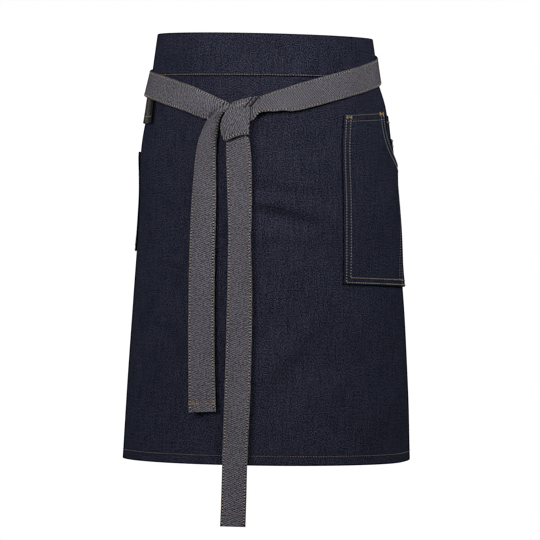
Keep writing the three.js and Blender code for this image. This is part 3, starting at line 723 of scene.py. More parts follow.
def loop_shape():
    """The tape loop: down from the seam, round its foot and up again, with a slit between."""
    tape, lift, foot, half = TAPE_THICKNESS, LOOP["lift"], LOOP["foot"], LOOP["slit"] / 2
    turn_z, inner_foot = foot + LOOP["round"], foot + LOOP["inner_foot"]
    rows = spread(turn_z, LOOP["top"], step=LOOP_STEP)[::-1]
    arc = np.linspace(0, np.pi, LOOP_ARC)[1:-1]
    middle, back = lift + tape + half, np.full(len(rows), lift)
    out_off = np.concatenate([loop_face(0, rows), middle + (tape + half) * np.cos(arc), back])
    out_z = np.concatenate([rows, turn_z - LOOP["round"] * np.sin(arc), rows[::-1]])
    in_off = np.concatenate([lift + tape + slit_at(rows), middle + half * np.cos(arc), back + tape])
    in_z = np.concatenate([np.maximum(rows, inner_foot),
                           foot + LOOP["inner_top"] - LOOP["inner_round"] * np.sin(arc),
                           np.maximum(rows[::-1], inner_foot)])
    off, z = np.concatenate([out_off, in_off[::-1]]), np.concatenate([out_z, in_z[::-1]])
    rounds = spread(LOOP["back"], LOOP["back"] + LOOP_EDGE, LOOP["front"] - LOOP_EDGE,
                    LOOP["front"], step=LOOP_STEP)
    rings = on_cloth(rounds[:, None], z[None, :], off[None, :])
    run = run_along(np.stack([off, z], -1))
    flat = np.stack(np.broadcast_arrays(run[None, :], rounds[:, None]), -1)
    return rings, flat


def round_rungs(rows):
    """Upper and lower edges of a strap that lies round the form, from angle, height, standoff."""
    order = np.argsort(rows[:, 0])
    first, last = rows[0, 0], rows[-1, 0]
    angle = np.linspace(first, last, int(np.ceil(abs(last - first) / RUNG_ANGLE)) + 1)
    nudge = 0.3

    def place(a):
        """Point and height of the strap's middle at an angle."""
        z, off = np.moveaxis(smooth_curve(rows[order, 0], rows[order, 1:], a), -1, 0)
        return on_form(np.radians(a), z, off), z

    middle, z = place(angle)
    along = place(angle + nudge)[0] - place(angle - nudge)[0]
    out = on_form(np.radians(angle), z, 10.0) - on_form(np.radians(angle), z, 0.0)
    across = unit(np.cross(out, along))
    across *= np.sign(across[:, 2:3])
    return middle + across * TIE_WIDTH / 2, middle - across * TIE_WIDTH / 2


def knot_rungs(rows, bowed):
    """Edges of a strap from places right of and above the knot's middle, and the push of its middle.

    The last column lifts edge b of a bowed strap, and pushes the other's middle to the left.
    """
    ua, va, ub, vb, off, last = rows.T
    upper = on_cloth(KNOT_S + ua, KNOT_Z + va, off)
    lower = on_cloth(KNOT_S + ub, KNOT_Z + vb, off + last * bowed)
    across, up = KNOT_S + (ua + ub) / 2, KNOT_Z + (va + vb) / 2
    left = unit(on_cloth(across - 1, up, off) - on_cloth(across + 1, up, off))
    return upper, lower, left * (last * (1 - bowed))[:, None]


def strap_frames(round_rows, knot_rows, bowed):
    """Middle, half width, normal and bow of a strap at fine stations along its rungs.

    The rungs are joined by a smooth curve over knots spaced by the root of their movement;
    the bow lets the full width fit between closer edges: depth sqrt(3 chord spare / 8).
    """
    upper_a, lower_a = round_rungs(round_rows)
    upper_b, lower_b, push_b = knot_rungs(knot_rows, bowed)
    upper, lower = np.concatenate([upper_a, upper_b]), np.concatenate([lower_a, lower_b])
    middle, half = (upper + lower) / 2, (upper - lower) / 2
    ua, va, ub, vb = knot_rows[:, :4].T
    chord = np.hypot(ua - ub, va - vb)
    spare = np.maximum(TIE_WIDTH - chord, 0)
    bow = TIE_FULLNESS * np.sqrt(3 * chord * spare / 8) * bowed
    bow = np.concatenate([np.zeros(len(upper_a)), bow])
    push = np.concatenate([np.zeros_like(upper_a), push_b])
    move = sum(np.linalg.norm(np.diff(part, axis=0), axis=1) for part in (middle, half))
    knots = np.concatenate([[0], np.cumsum(np.sqrt(move))])
    counts = np.maximum(np.ceil(move / STRAP_STEP).astype(int), 2)
    places = [np.linspace(a, b, n, endpoint=False) for a, b, n in zip(knots, knots[1:], counts)]
    at = np.concatenate(places + [knots[-1:]])
    nudge = 0.02
    ahead, behind = (smooth_curve(knots, middle + push, at + step) for step in (nudge, -nudge))
    mid_at, half_at = smooth_curve(knots, middle, at), smooth_curve(knots, half, at)
    return {"middle": mid_at, "half": half_at, "normal": unit(np.cross(ahead - behind, half_at)),
            "bow": smooth_curve(knots, bow, at), "push": smooth_curve(knots, push, at),
            "run": run_along(mid_at)}


@cache
def strap_ways():
    """The two straps' frames, worked out once for the straps and their stitches."""
    return {"left": strap_frames(LEFT_ROUND, LEFT_TURN, 1.0),
            "right": strap_frames(RIGHT_ROUND, RIGHT_WRAP, 0.0)}


def strap_point(way, t, side, thick):
    """Point of a strap at t across it (-1 to 1), on a face at side times half the thickness."""
    t = np.asarray(t, float)
    middle, half, normal, push = (way[k][:, None] for k in ("middle", "half", "normal", "push"))
    lift = way["bow"][:, None] * (1 - t ** 2) + side * thick / 2
    flat = middle + half * t[..., None] + normal * lift[..., None]
    return flat + push * (1 - t ** 2)[..., None]


def strap_shape(way, thick, mirror):
    """A flat strap: its round-edged section, dented along the edge stitches, carried along the way."""
    t = np.concatenate([-STRAP_ACROSS[::-1], [0], STRAP_ACROSS])
    edge = np.clip((np.abs(t) - STRAP_ROUND) / (1 - STRAP_ROUND), 0, 1)
    full = np.sqrt(np.maximum(1 - edge ** 2, THINNEST))
    full -= dent(np.abs(t) - EDGE_STITCH, *STRAP_DENT)
    t = np.broadcast_to(t, (len(way["run"]), len(t)))
    top = strap_point(way, t, full, thick)
    under = strap_point(way, t, -full, thick)
    rings = np.concatenate([top[:, ::-1], under], axis=1)
    flat = np.stack(np.broadcast_arrays(way["run"][:, None], t * TIE_WIDTH / 2 * mirror), -1)
    return rings, np.concatenate([flat[:, ::-1], flat], axis=1)


def strap_line(way, t, side, thick, start=0.0, stop=0.0):
    """A line along a strap's face at t across it, with its normals, short of its ends."""
    keep = (way["run"] >= start) & (way["run"] <= way["run"][-1] - stop)
    line = strap_point(way, np.full((len(way["run"]), 1), t), side * STITCH_SEAT, thick)[:, 0]
    tilt = unit(way["normal"] * np.linalg.norm(way["half"], axis=1)[:, None]
                + unit(way["half"]) * (2 * t * way["bow"])[:, None])
    return line[keep], side * tilt[keep]


def strap_cross(way, back, t_from, t_to, side, thick):
    """A line across a strap's face, back from its far end."""
    i = int(np.searchsorted(way["run"], way["run"][-1] - back))
    t = np.linspace(t_from, t_to, TACK_POINTS)
    one = {k: v[i:i + 1] for k, v in way.items()}
    line = strap_point(one, t[None, :], side * TACK_SEAT, thick)[0]
    return line, np.repeat(side * one["normal"], TACK_POINTS, axis=0)


# Materials

# Sockets of a Mix node that are its factor, its two colours and its mixed colour
MIX_INPUTS, MIX_RESULT = (0, 6, 7), 2


def put(tree, kind, **values):
    """A new node with its settings and plain input values."""
    node = tree.nodes.new(kind)
    for key, value in values.items():
        if hasattr(node, key):
            setattr(node, key, value)
        else:
            node.inputs[key.replace("_", " ")].default_value = value
    return node


def feed(tree, socket, value):
    """Link a socket to another one, or set its plain value."""
    if isinstance(value, bpy.types.NodeSocket):
        tree.links.new(value, socket)
    else:
        socket.default_value = value


def calc(tree, operation, *values):
    """A Math node on sockets or numbers."""
    node = put(tree, "ShaderNodeMath", operation=operation)
    for socket, value in zip(node.inputs, values):
        feed(tree, socket, value)
    return node.outputs[0]


def weighted(tree, first, *others):
    """Sum of values times their weights, from pairs of a socket and a weight."""
    total = calc(tree, "MULTIPLY", *first)
    for value, weight in others:
        total = calc(tree, "MULTIPLY_ADD", value, weight, total)
    return total


def blend(tree, factor, a, b, mode="MIX"):
    """A colour mix; the factor, a and b are sockets or plain values."""
    node = put(tree, "ShaderNodeMix", data_type="RGBA", blend_type=mode)
    for number, value in zip(MIX_INPUTS, (factor, a, b)):
        feed(tree, node.inputs[number], value)
    return node.outputs[MIX_RESULT]


def noise(tree, vector, scale, detail=2.0, rough=0.5, stretch=(1, 1, 1)):
    """Noise value over a stretched vector."""
    mapping = put(tree, "ShaderNodeMapping", Scale=stretch)
    tree.links.new(vector, mapping.inputs["Vector"])
    node = put(tree, "ShaderNodeTexNoise", Scale=scale, Detail=detail, Roughness=rough)
    tree.links.new(mapping.outputs[0], node.inputs["Vector"])
    return node.outputs["Fac"]


def ramp(tree, value, low, high, to_low=0.0, to_high=1.0):
    """Value stretched so that low becomes to_low and high becomes to_high, held between them."""
    node = put(tree, "ShaderNodeMapRange", From_Min=low, From_Max=high, To_Min=to_low, To_Max=to_high)
    tree.links.new(value, node.inputs["Value"])
    return node.outputs[0]


def split(tree, vector):
    """The three numbers of a vector."""
    node = put(tree, "ShaderNodeSeparateXYZ")
    tree.links.new(vector, node.inputs[0])
    return node.outputs


def new_group(name, inputs, outputs):
    """An empty shader node group with named sockets; all but the vector are numbers."""
    group = bpy.data.node_groups.new(name, "ShaderNodeTree")
    group.interface.new_socket("Vector", in_out="INPUT", socket_type="NodeSocketVector")
    for label, default in inputs.items():
        socket = group.interface.new_socket(label, in_out="INPUT", socket_type="NodeSocketFloat")
        socket.default_value = default
    for label in outputs:
        group.interface.new_socket(label, in_out="OUTPUT", socket_type="NodeSocketFloat")
    return group, put(group, "NodeGroupInput").outputs, put(group, "NodeGroupOutput").inputs


def twill_group():
    """Diagonal ribs of a twill: a sine across the rib lines, broken along them into short floats."""
    group, given, out = new_group(
        "twill_weave", {"Pitch": 0.0025, "Rise": 0.45, "Ragged": 0.5}, ("Rib", "Float"))
    u, v, _ = split(group, given["Vector"])
    wander = calc(group, "SUBTRACT", noise(group, given["Vector"], 260.0, 3.0, 0.6), 0.5)
    drift = calc(group, "MULTIPLY", wander, given["Ragged"])
    across = calc(group, "MULTIPLY_ADD", v, given["Rise"], u)
    phase = calc(group, "MULTIPLY_ADD", drift, 3.0, calc(group, "DIVIDE", across, given["Pitch"]))
    along = calc(group, "SUBTRACT", v, calc(group, "MULTIPLY", u, given["Rise"]))
    row = calc(group, "FLOOR", phase)
    beat = weighted(group, (calc(group, "DIVIDE", along, given["Pitch"]), 0.7), (row, 0.37))
    for label, turns in (("Rib", phase), ("Float", beat)):
        wave = calc(group, "SINE", calc(group, "MULTIPLY", turns, 2 * np.pi))
        group.links.new(ramp(group, wave, -1.0, 1.0), out[label])


def yarn_group():
    """Uneven yarn: streaks both ways, grain of a yarn's size, thick places, tints, clouds of dye."""
    group, given, out = new_group(
        "yarn_unevenness", {}, ("Streak", "Grain", "Slub", "Tint", "Cloud"))
    at = given["Vector"]
    warp = noise(group, at, 330.0, 2.0, 0.6, (1.0, 0.11, 1.0))
    weft = noise(group, at, 330.0, 2.0, 0.6, (0.16, 1.0, 1.0))
    group.links.new(weighted(group, (warp, 0.6), (weft, 0.4)), out["Streak"])
    for label, scale, detail, rough in (("Grain", 760.0, 1.0, 0.6), ("Slub", 430.0, 2.0, 0.7),
                                        ("Tint", 270.0, 2.0, 0.6), ("Cloud", 22.0, 3.0, 0.6)):
        group.links.new(noise(group, at, scale, detail, rough), out[label])


def place_group(tree, name, vector, **values):
    """The outputs of a group node that is fed by a vector, with its own values."""
    node = put(tree, "ShaderNodeGroup", node_tree=bpy.data.node_groups[name])
    tree.links.new(vector, node.inputs["Vector"])
    for key, value in values.items():
        node.inputs[key].default_value = value
    return node.outputs


def new_material(name, roughness=0.9, sheen=0.0):
    """A matt material: itself, its tree, its Principled shader's inputs and the cloth's UV."""
    material = bpy.data.materials.new(name)
    material.use_nodes = True
    tree = material.node_tree
    shader = tree.nodes["Principled BSDF"].inputs
    for key, value in (("Roughness", roughness), ("Specular IOR Level", 0.1),
                       ("Sheen Weight", sheen), ("Sheen Roughness", 0.6)):
        shader[key].default_value = value
    return material, tree, shader, put(tree, "ShaderNodeUVMap", uv_map="cloth").outputs[0]


def object_place(tree):
    """The object's own coordinates."""
    return put(tree, "ShaderNodeTexCoord").outputs["Object"]


def paint(tree, shader, colour, shade):
    """Colour times shade into the shader's base colour."""
    tree.links.new(blend(tree, 1.0, colour, shade, "MULTIPLY"), shader["Base Color"])


def bump(tree, shader, height, distance):
    """Height into the shader's normal."""
    node = put(tree, "ShaderNodeBump", Strength=1.0, Distance=distance)
    tree.links.new(height, node.inputs["Height"])
    tree.links.new(node.outputs[0], shader["Normal"])


def denim_material(name, deep, fleck, share):
    """Warp-faced denim: dyed yarn with pale weft flecks in fine twill, streaked and clouded.

    Painted light makes the cloth palest over the front, and painted shade makes it deeper round the hips.
    """
    material, tree, shader, at = new_material(name)
    twill = place_group(tree, "twill_weave", at, Pitch=0.0011, Rise=0.9, Ragged=0.35)
    yarn = place_group(tree, "yarn_unevenness", at)
    streak = ramp(tree, yarn["Streak"], 0.38, 0.62)
    grain = ramp(tree, yarn["Grain"], 0.47, 0.6)
    weave = calc(tree, "MULTIPLY", twill["Rib"], twill["Float"])
    pale = weighted(tree, (grain, 0.78), (streak, 0.22), (weave, 0.2))
    cool, warm = (tuple(np.multiply(fleck, tone)) for tone in (FLECK_COOL, FLECK_WARM))
    tint = blend(tree, ramp(tree, yarn["Tint"], 0.42, 0.58), (*cool, 1), (*warm, 1))
    colour = blend(tree, calc(tree, "MULTIPLY", pale, share), (*deep, 1), tint)
    cloud = ramp(tree, yarn["Cloud"], 0.3, 0.7, 0.87, 1.13)
    colour = blend(tree, 1.0, colour, cloud, "MULTIPLY")
    # Painted light and shade: the colour is paler over the front and darker round the hips
    aside = calc(tree, "SUBTRACT", split(tree, object_place(tree))[0], PAINTED_LIGHT_MIDDLE)
    away = ramp(tree, calc(tree, "ABSOLUTE", aside), *PAINTED_LIGHT_REACH)
    paint(tree, shader, colour, blend(tree, away, PAINTED_LIGHT_FRONT, PAINTED_SHADE_SIDE))
    tree.links.new(ramp(tree, streak, 0.0, 1.0, 0.94, 0.86), shader["Roughness"])
    bump(tree, shader, weighted(tree, (twill["Rib"], 0.5), (streak, 0.6), (grain, 0.8)), 0.00025)
    return material


def strap_material(name, pale, dark, edge_shade=None):
    """Weft-faced grey twill: visible diagonal ribs, pale yarn over dark, ragged and flecked.

    Painted edge shade darkens the cloth away from a place across it, from one distance to another.
    """
    material, tree, shader, at = new_material(name)
    twill = place_group(tree, "twill_weave", at, Pitch=0.0024, Rise=0.45, Ragged=0.36)
    yarn = place_group(tree, "yarn_unevenness", at)
    rib = ramp(tree, twill["Rib"], 0.2, 0.8)
    grain = ramp(tree, yarn["Grain"], 0.38, 0.62)
    slub = ramp(tree, yarn["Slub"], 0.42, 0.58)
    share = weighted(tree, (rib, 0.5), (grain, 0.2), (slub, 0.42))
    if edge_shade:
        middle, *reach = edge_shade
        # Painted shade, growing towards the edges of the tape
        off = calc(tree, "ABSOLUTE", calc(tree, "SUBTRACT", split(tree, at)[1], middle))
        share = calc(tree, "MULTIPLY", share, ramp(tree, off, *reach, 1.0, 1.0 - EDGE_SHADE_SHARE))
    colour = blend(tree, share, (*dark, 1), (*pale, 1))
    paint(tree, shader, colour, ramp(tree, yarn["Cloud"], 0.3, 0.7, 0.88, 1.12))
    tree.links.new(ramp(tree, grain, 0.0, 1.0, 0.94, 0.86), shader["Roughness"])
    bump(tree, shader, weighted(tree, (rib, 1.0), (grain, 0.5)), 0.0003)
    return material


def thread_material(name, light, deep):
    """Twisted sewing thread: the tone changes from stitch to stitch, with fine ply lines."""
    material, tree, shader, _ = new_material(name, 0.6, 0.1)
    where = object_place(tree)
    tone = ramp(tree, noise(tree, where, 210.0, 2.0, 0.6), 0.32, 0.68)
    ply = put(tree, "ShaderNodeTexWave", Scale=900.0, Distortion=1.5, bands_direction="DIAGONAL")
    tree.links.new(where, ply.inputs["Vector"])
    colour = blend(tree, tone, (*deep, 1), (*light, 1))
    paint(tree, shader, colour, ramp(tree, ply.outputs["Fac"], 0.0, 1.0, 0.8, 1.1))
    tree.links.new(ramp(tree, tone, 0.0, 1.0, 0.7, 0.55), shader["Roughness"])
    bump(tree, shader, ply.outputs["Fac"], 0.0001)
    return material


def floor_material(colour):
    """Pale matt paper with a faint grain, as bright to the eye as the white surroundings."""
    material, tree, shader, _ = new_material("studio_paper")
    grain = noise(tree, object_place(tree), 40.0, 3.0)
    paint(tree, shader, (*colour, 1), ramp(tree, grain, 0.3, 0.7, 0.97, 1.0))
    seen = put(tree, "ShaderNodeLightPath").outputs["Is Camera Ray"]
    shader["Emission Color"].default_value = (1, 1, 1, 1)
    tree.links.new(calc(tree, "MULTIPLY", seen, FLOOR_GLOW), shader["Emission Strength"])
    return material


def finish(name):
    """A material by name, made once with its shared groups from the colours in the panel."""
    if name in bpy.data.materials:
        return bpy.data.materials[name]
    if "twill_weave" not in bpy.data.node_groups:
        twill_group()
        yarn_group()
    colours = bpy.context.scene.apron_colours
    c = {key: tuple(getattr(colours, key)) for key in ApronColours.__annotations__}
    if name in DENIMS:
        deep, fleck, dim, share = DENIMS[name]
        return denim_material(name, c[deep], tuple(dim * v for v in c[fleck]), share)
    if name == "grey_strap":
        return strap_material(name, c["strap_pale"], c["strap_dark"])
    # The loop's tape: the straps' tape darkened by painted shade, darker still at its two edges
    if name == "loop_tape":
        middle = MM * (LOOP["front"] + LOOP["back"]) / 2
        return strap_material(name, c["tape_pale"], c["strap_dark"], (middle, *TAPE_EDGE_SHADE))
    if name == "needle_hole":
        return thread_material(name, c["hole"], tuple(HOLE_SHADE * v for v in c["hole"]))
    if name.endswith("_thread"):
        return thread_material(name, c[name], c[f"{name}_deep"])
    raise RuntimeError(f"there is no finish named {name}")


# Settings

def length_property(label, words, default, low, high):
    """A length in metres."""
    return FloatProperty(name=label, description=words, default=default, min=low, max=high,
                         unit="LENGTH", precision=4)


def colour_property(label, words, default):
    """A colour in linear light."""
    return FloatVectorProperty(name=label, description=words, default=default, subtype="COLOR",
                               size=3, min=0, max=1)


class ApronSizes(PropertyGroup):
    """Sizes of the cloth and thread that a user may change."""

    cloth: length_property("Denim thickness", "Thickness of one layer of denim",
                           0.0012, 0.0008, 0.0016)
    strap: length_property("Strap thickness", "Thickness of the doubled strap",
                           0.0016, 0.001, 0.0018)
    stitch: length_property("Stitch pitch", "Distance from one stitch to the next",
                            0.003, 0.002, 0.006)
    thread: length_property("Thread width", "Width of the sewing thread",
                            0.0015, 0.0003, 0.0018)


class ApronColours(PropertyGroup):
    """Colours of the cloth and thread, in linear light."""

    indigo: colour_property("Indigo", "Dyed warp yarn of the denim face", (0.0018, 0.0040, 0.0125))
    indigo_fleck: colour_property("Indigo fleck", "Paler yarn that shows through the face",
                                  (0.088, 0.086, 0.131))
    reverse: colour_property("Reverse", "Darker yarn on the inside", (0.055, 0.056, 0.066))
    reverse_fleck: colour_property("Reverse fleck", "Pale weft on the inside", (0.20, 0.195, 0.20))
    strap_pale: colour_property("Strap pale yarn", "Pale yarn of the straps", (0.250, 0.237, 0.270))
    strap_dark: colour_property("Strap dark yarn", "Dark yarn of the straps", (0.006, 0.006, 0.010))
    # The same tape as the straps, its pale yarn made darker as painted shade under the tie
    tape_pale: colour_property("Tape pale yarn", "Pale yarn of the loop", (0.17, 0.155, 0.145))
    tan_thread: colour_property("Tan thread", "Light tone of the thread", (0.41, 0.375, 0.335))
    tan_thread_deep: colour_property("Tan thread, deep", "Deep tone of the thread", (0.24, 0.19, 0.135))
    strap_thread: colour_property("Strap thread", "Light tone of the thread", (0.58, 0.54, 0.49))
    strap_thread_deep: colour_property("Strap thread, deep", "Deep tone of the thread", (0.33, 0.24, 0.15))
    ochre_thread: colour_property("Ochre thread", "Light tone of the thread", (0.62, 0.43, 0.17))
    ochre_thread_deep: colour_property("Ochre thread, deep", "Deep tone of the thread", (0.44, 0.23, 0.055))
    pale_thread: colour_property("Pale thread", "Light tone of the thread", (0.44, 0.445, 0.475))
    pale_thread_deep: colour_property("Pale thread, deep", "Deep tone of the thread", (0.28, 0.28, 0.28))
    # Colour of the painted shade in the needle holes
    hole: colour_property("Needle hole", "Shade where the thread goes in", (0.006, 0.006, 0.009))
    floor: colour_property("Floor", "Studio floor", (0.86, 0.86, 0.86))


def size_mm(name):
    """One of the sizes, in millimetres."""
    return getattr(bpy.context.scene.apron_sizes, name) / MM


def sew(name, lines):
    """A piece made of the stitches along some lines, by its row in the table of stitches."""
    thread, size, pitch = STITCHES[name]
    pitch = pitch or size_mm("stitch")
    size = size or (pitch * STITCH_SHARE, size_mm("thread"), STITCH_HEIGHT)
    *shape, marks = thread_stitches(lines, pitch, size)
    new_piece(name, *shape, [finish(thread), finish("needle_hole")], marks)


def stand_in(name, node, shape, finishes, marks=None):
    """A piece that takes a solid's place: points, faces and UV, its finishes and marks of faces."""
    piece = new_piece(name, *shape, [finish(each) for each in finishes], marks)
    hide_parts(node)


# Operators

class APRON_OT_panel(Operator):
    """Build the skirt of the apron"""

    bl_idname = "apron.panel"
    bl_label = "Skirt panel"

    def execute(self, context):
        *shape, inside = ring_loft(*panel_shape(size_mm("cloth")))
        stand_in("skirt_panel", "panel", shape,
                 ["indigo_face", "indigo_reverse"], inside)
        return {"FINISHED"}


class APRON_OT_waistband(Operator):
    """Build the folded waistband"""

    bl_idname = "apron.waistband"
    bl_label = "Waistband"

    def execute(self, context):
        rings, uv = waistband_shape(size_mm("cloth"))
        p, walls = ring_walls(*rings.shape[:2])
        shape = rings.reshape(-1, 3), [walls, p[:1, ::-1], p[-1:]], uv.reshape(-1, 2)
        stand_in("waistband_fold", "waistband", shape, ["indigo_face"])
        return {"FINISHED"}


class APRON_OT_pockets(Operator):
    """Build the patch pockets and the layer that faces the scoop"""

    bl_idname = "apron.pockets"
    bl_label = "Patch pockets"

    def execute(self, context):
        for name, node, size, rows in (("large_pocket", "pocket_right", BIG_POCKET, 50),
                                       ("scoop_facing", "pocket_facing", FACING, 30),
                                       ("coin_patch", "coin_pocket", COIN_POCKET, 22),
                                       ("small_pocket", "pocket_left", SMALL_POCKET, 32)):
            rings, uv = patch_shape(size, rows)
            *shape, inside = ring_loft(rings, uv)
            row = rings.shape[1] // 2
            marks = inside.astype(int)
            # The outer strip at the left end and both end walls take the dark denim: painted shade along
            # the edges
            marks[:row] = marks[-2 * (row - 1):] = 2
            stand_in(name, node, shape,
                     ["indigo_face", "indigo_reverse", "indigo_edge"], marks)
        return {"FINISHED"}


class APRON_OT_side_loop(Operator):
    """Build the tape loop at the hip"""

    bl_idname = "apron.side_loop"
    bl_label = "Tape loop"

    def execute(self, context):
        *shape, _ = ring_loft(*loop_shape())
        stand_in("tape_loop", "side_loop", shape, ["loop_tape"])
        return {"FINISHED"}


class APRON_OT_straps(Operator):
    """Build the two straps with their knot and tails"""

    bl_idname = "apron.straps"
    bl_label = "Straps"

    def execute(self, context):
        for side, mirror in (("left", 1.0), ("right", -1.0)):
            *shape, _ = ring_loft(*strap_shape(strap_ways()[side], size_mm("strap"), mirror))
            stand_in(f"strap_{side}", f"tie_{side}", shape, ["grey_strap"])
        return {"FINISHED"}


class APRON_OT_stitches(Operator):
    """Sew the rows of stitches and the bar tacks"""

    bl_idname = "apron.stitches"
    bl_label = "Stitches"

    def execute(self, context):
        self.edge_rows(size_mm("cloth"))
        self.large_pocket_rows()
        self.patch_rows()
        self.strap_rows(size_mm("strap"))
        self.bar_tacks(size_mm("strap"))
        return {"FINISHED"}

    def edge_rows(self, cloth):
        """Single rows along the waist seam, the hem and the two back edges."""
        ends = FLAT_HALF - ROW_END
        sew("stitch_waistband", [cloth_line([-ends, ends], SEAM + BAND_STITCH, band_face(cloth))])
        hem = HEM + HEM_HEIGHT - HEM_STITCH
        back = FLAT_HALF - SIDE_HEM + SIDE_STITCH
        rows = [cloth_line([-ends, ends], hem, cloth / 2)]
        for s in (back, -back):
            rows.append(cloth_line([s, s], [hem, SEAM - SIDE_ROW_TOP], cloth / 2))
        sew("stitch_hem", rows)

    def large_pocket_rows(self):
        """Double rows along the large pocket's sides, slot, foot, top edge and scoop."""
        face = patch_face(BIG_POCKET, POCKET_SEAT)
        left, right = BIG_POCKET["left"], BIG_POCKET["right"]
        scoop_foot = BIG_TOP_CORNER - SCOOP_DEPTH
        sides, feet, tops = [], [], []
        for gap, rise, drops, shift in POCKET_ROWS:
            ends = np.array([left + gap, right - gap])
            foot = foot_at(BIG_POCKET, ends) + rise
            slot = SLOT_LEAN + shift
            slot_foot = foot_at(BIG_POCKET, slot[1]) + rise
            sides.append(cloth_line(ends[0], [BIG_TOP_LEFT - ROW_END, foot[0]], face))
            sides.append(cloth_line(ends[1], [foot[1], scoop_foot - ROW_END], face))
            sides.append(cloth_line(slot, [SLOT_TOP, slot_foot], face))
            feet.append(cloth_line(ends, foot, face))
            top = np.array([left + ROW_END, SCOOP_START - ROW_END])
            tops.append(cloth_line(top, big_pocket_top(top) - drops, face))
        sew("stitch_pocket_sides", sides)
        sew("stitch_pocket_foot", feet)
        sew("stitch_pocket_top", tops)
        turn = np.linspace(SCOOP_ROW_START, np.pi / 2, SCOOP_ROW_POINTS)
        edge_s = SCOOP_START + SCOOP_REACH * (1 - np.cos(turn))
        edge_z = BIG_TOP_CORNER - SCOOP_DEPTH * np.sin(turn)
        out = np.stack([-SCOOP_DEPTH * np.cos(turn), -SCOOP_REACH * np.sin(turn)], -1)
        out_s, out_z = unit(out).T
        sew("stitch_scoop", [cloth_line(edge_s + out_s * gap, edge_z + out_z * gap, face)
                             for gap in SCOOP_ROWS])

    def patch_rows(self):
        """Rows on the layers inside the scoop, on the small pocket and on the tape loop."""
        ends = [FACING["left"] + ROW_END, FACING["right"] - ROW_END]
        rows = [cloth_line(ends, FACING["top"] - FACING_ROW, patch_face(FACING))]
        ends = [COIN_POCKET["left"] + COIN_ROW_START, COIN_POCKET["right"] - ROW_END]
        for drop in COIN_ROWS:
            rows.append(cloth_line(ends, COIN_POCKET["top"] - drop, patch_face(COIN_POCKET)))
        sew("stitch_coin_patch", rows)
        face = patch_face(SMALL_POCKET)
        left, right, foot, top = (SMALL_POCKET[k] for k in ("left", "right", "foot", "top"))
        rows = [cloth_line([left + ROW_END, right - ROW_END], top - SMALL_HEM, face)]
        for gap in SMALL_ROWS:
            a, b, low, high = left + gap, right - gap, foot + gap, top - SMALL_ROW_TOP
            rows.append(cloth_line([a, a, b, b], [high, low, low, high], face))
        sew("stitch_small_pocket", rows)
        top, foot = LOOP["top"] - LOOP_ROW_TOP, LOOP["foot"] + LOOP_ROW_FOOT
        rows = [cloth_line(s, [top, foot], loop_face) for s in LOOP_ROWS]
        ends = [LOOP["front"] - ROW_END, LOOP["back"] + ROW_END]
        rows.append(cloth_line(ends, LOOP["foot"] + LOOP_CROSS_ROW, loop_face))
        sew("stitch_tape_loop", rows)

    def strap_rows(self, thick):
        """Rows along both edges and both faces of the straps, apart from the knot's crescent."""
        for side, way in strap_ways().items():
            lines = [strap_line(way, t, face, thick, *STRAP_ROW_ENDS)
                     for t in (-EDGE_STITCH, EDGE_STITCH) for face in (1, -1)]
            if side == "right":
                lines = [part for line in lines for part in self.off_crescent(*line)]
                lines.append(self.knot_row(way, thick))
            sew(f"stitch_strap_{side}", lines)

    def off_crescent(self, line, normal):
        """The runs of a row that are left without the plain upper edge of the knot's crescent."""
        aside, above = line[:, 0] - KNOT_S - CRESCENT_MIDDLE, line[:, 2] - KNOT_Z
        crescent = (np.abs(aside) < CRESCENT_HALF) & (above > CRESCENT_FOOT) & (normal[:, 1] < 0)
        cuts = np.flatnonzero(np.diff(crescent.astype(int))) + 1
        runs = np.split(np.arange(len(line)), cuts)
        return [(line[run], normal[run]) for run in runs
                if not crescent[run[0]] and len(run) >= LEAST_RUN]

    def knot_row(self, way, thick):
        """A short second row on the crescent over the wrap, where the strap shows its other face."""
        line, normal = strap_line(way, KNOT_ROW_ACROSS, -1, thick)
        away = np.abs(line[:, [0, 2]] - [KNOT_S, KNOT_Z] - np.array(KNOT_ROW_MIDDLE))
        place = (away < KNOT_ROW_HALF).all(axis=1) & (way["normal"][:, 1] > 0)
        return line[place], normal[place]

    def bar_tacks(self, thick):
        """Close-set ochre stitches at the large pocket's corners and across the straps' ends."""
        face = patch_face(BIG_POCKET, POCKET_SEAT)
        lines = []
        for s, z, half, (start, stop, drop), legs in POCKET_TACKS:
            for k in (-half, half):
                lines.append(cloth_line([s + start, s + stop], z - drop + k, face))
                for place, high, low in legs:
                    lines.append(cloth_line(s + place + k, [z - high, z - low], face))
        sew("bar_tacks_pocket", lines)
        lines = []
        for side, front, back, rows, bars in STRAP_TACKS:
            way = strap_ways()[side]
            for k in rows:
                lines += [strap_cross(way, back + k, *bar, front, thick) for bar in bars]
                lines.append(strap_cross(way, back + k, *BACK_TACK, -front, thick))
        sew("bar_tacks_straps", lines)


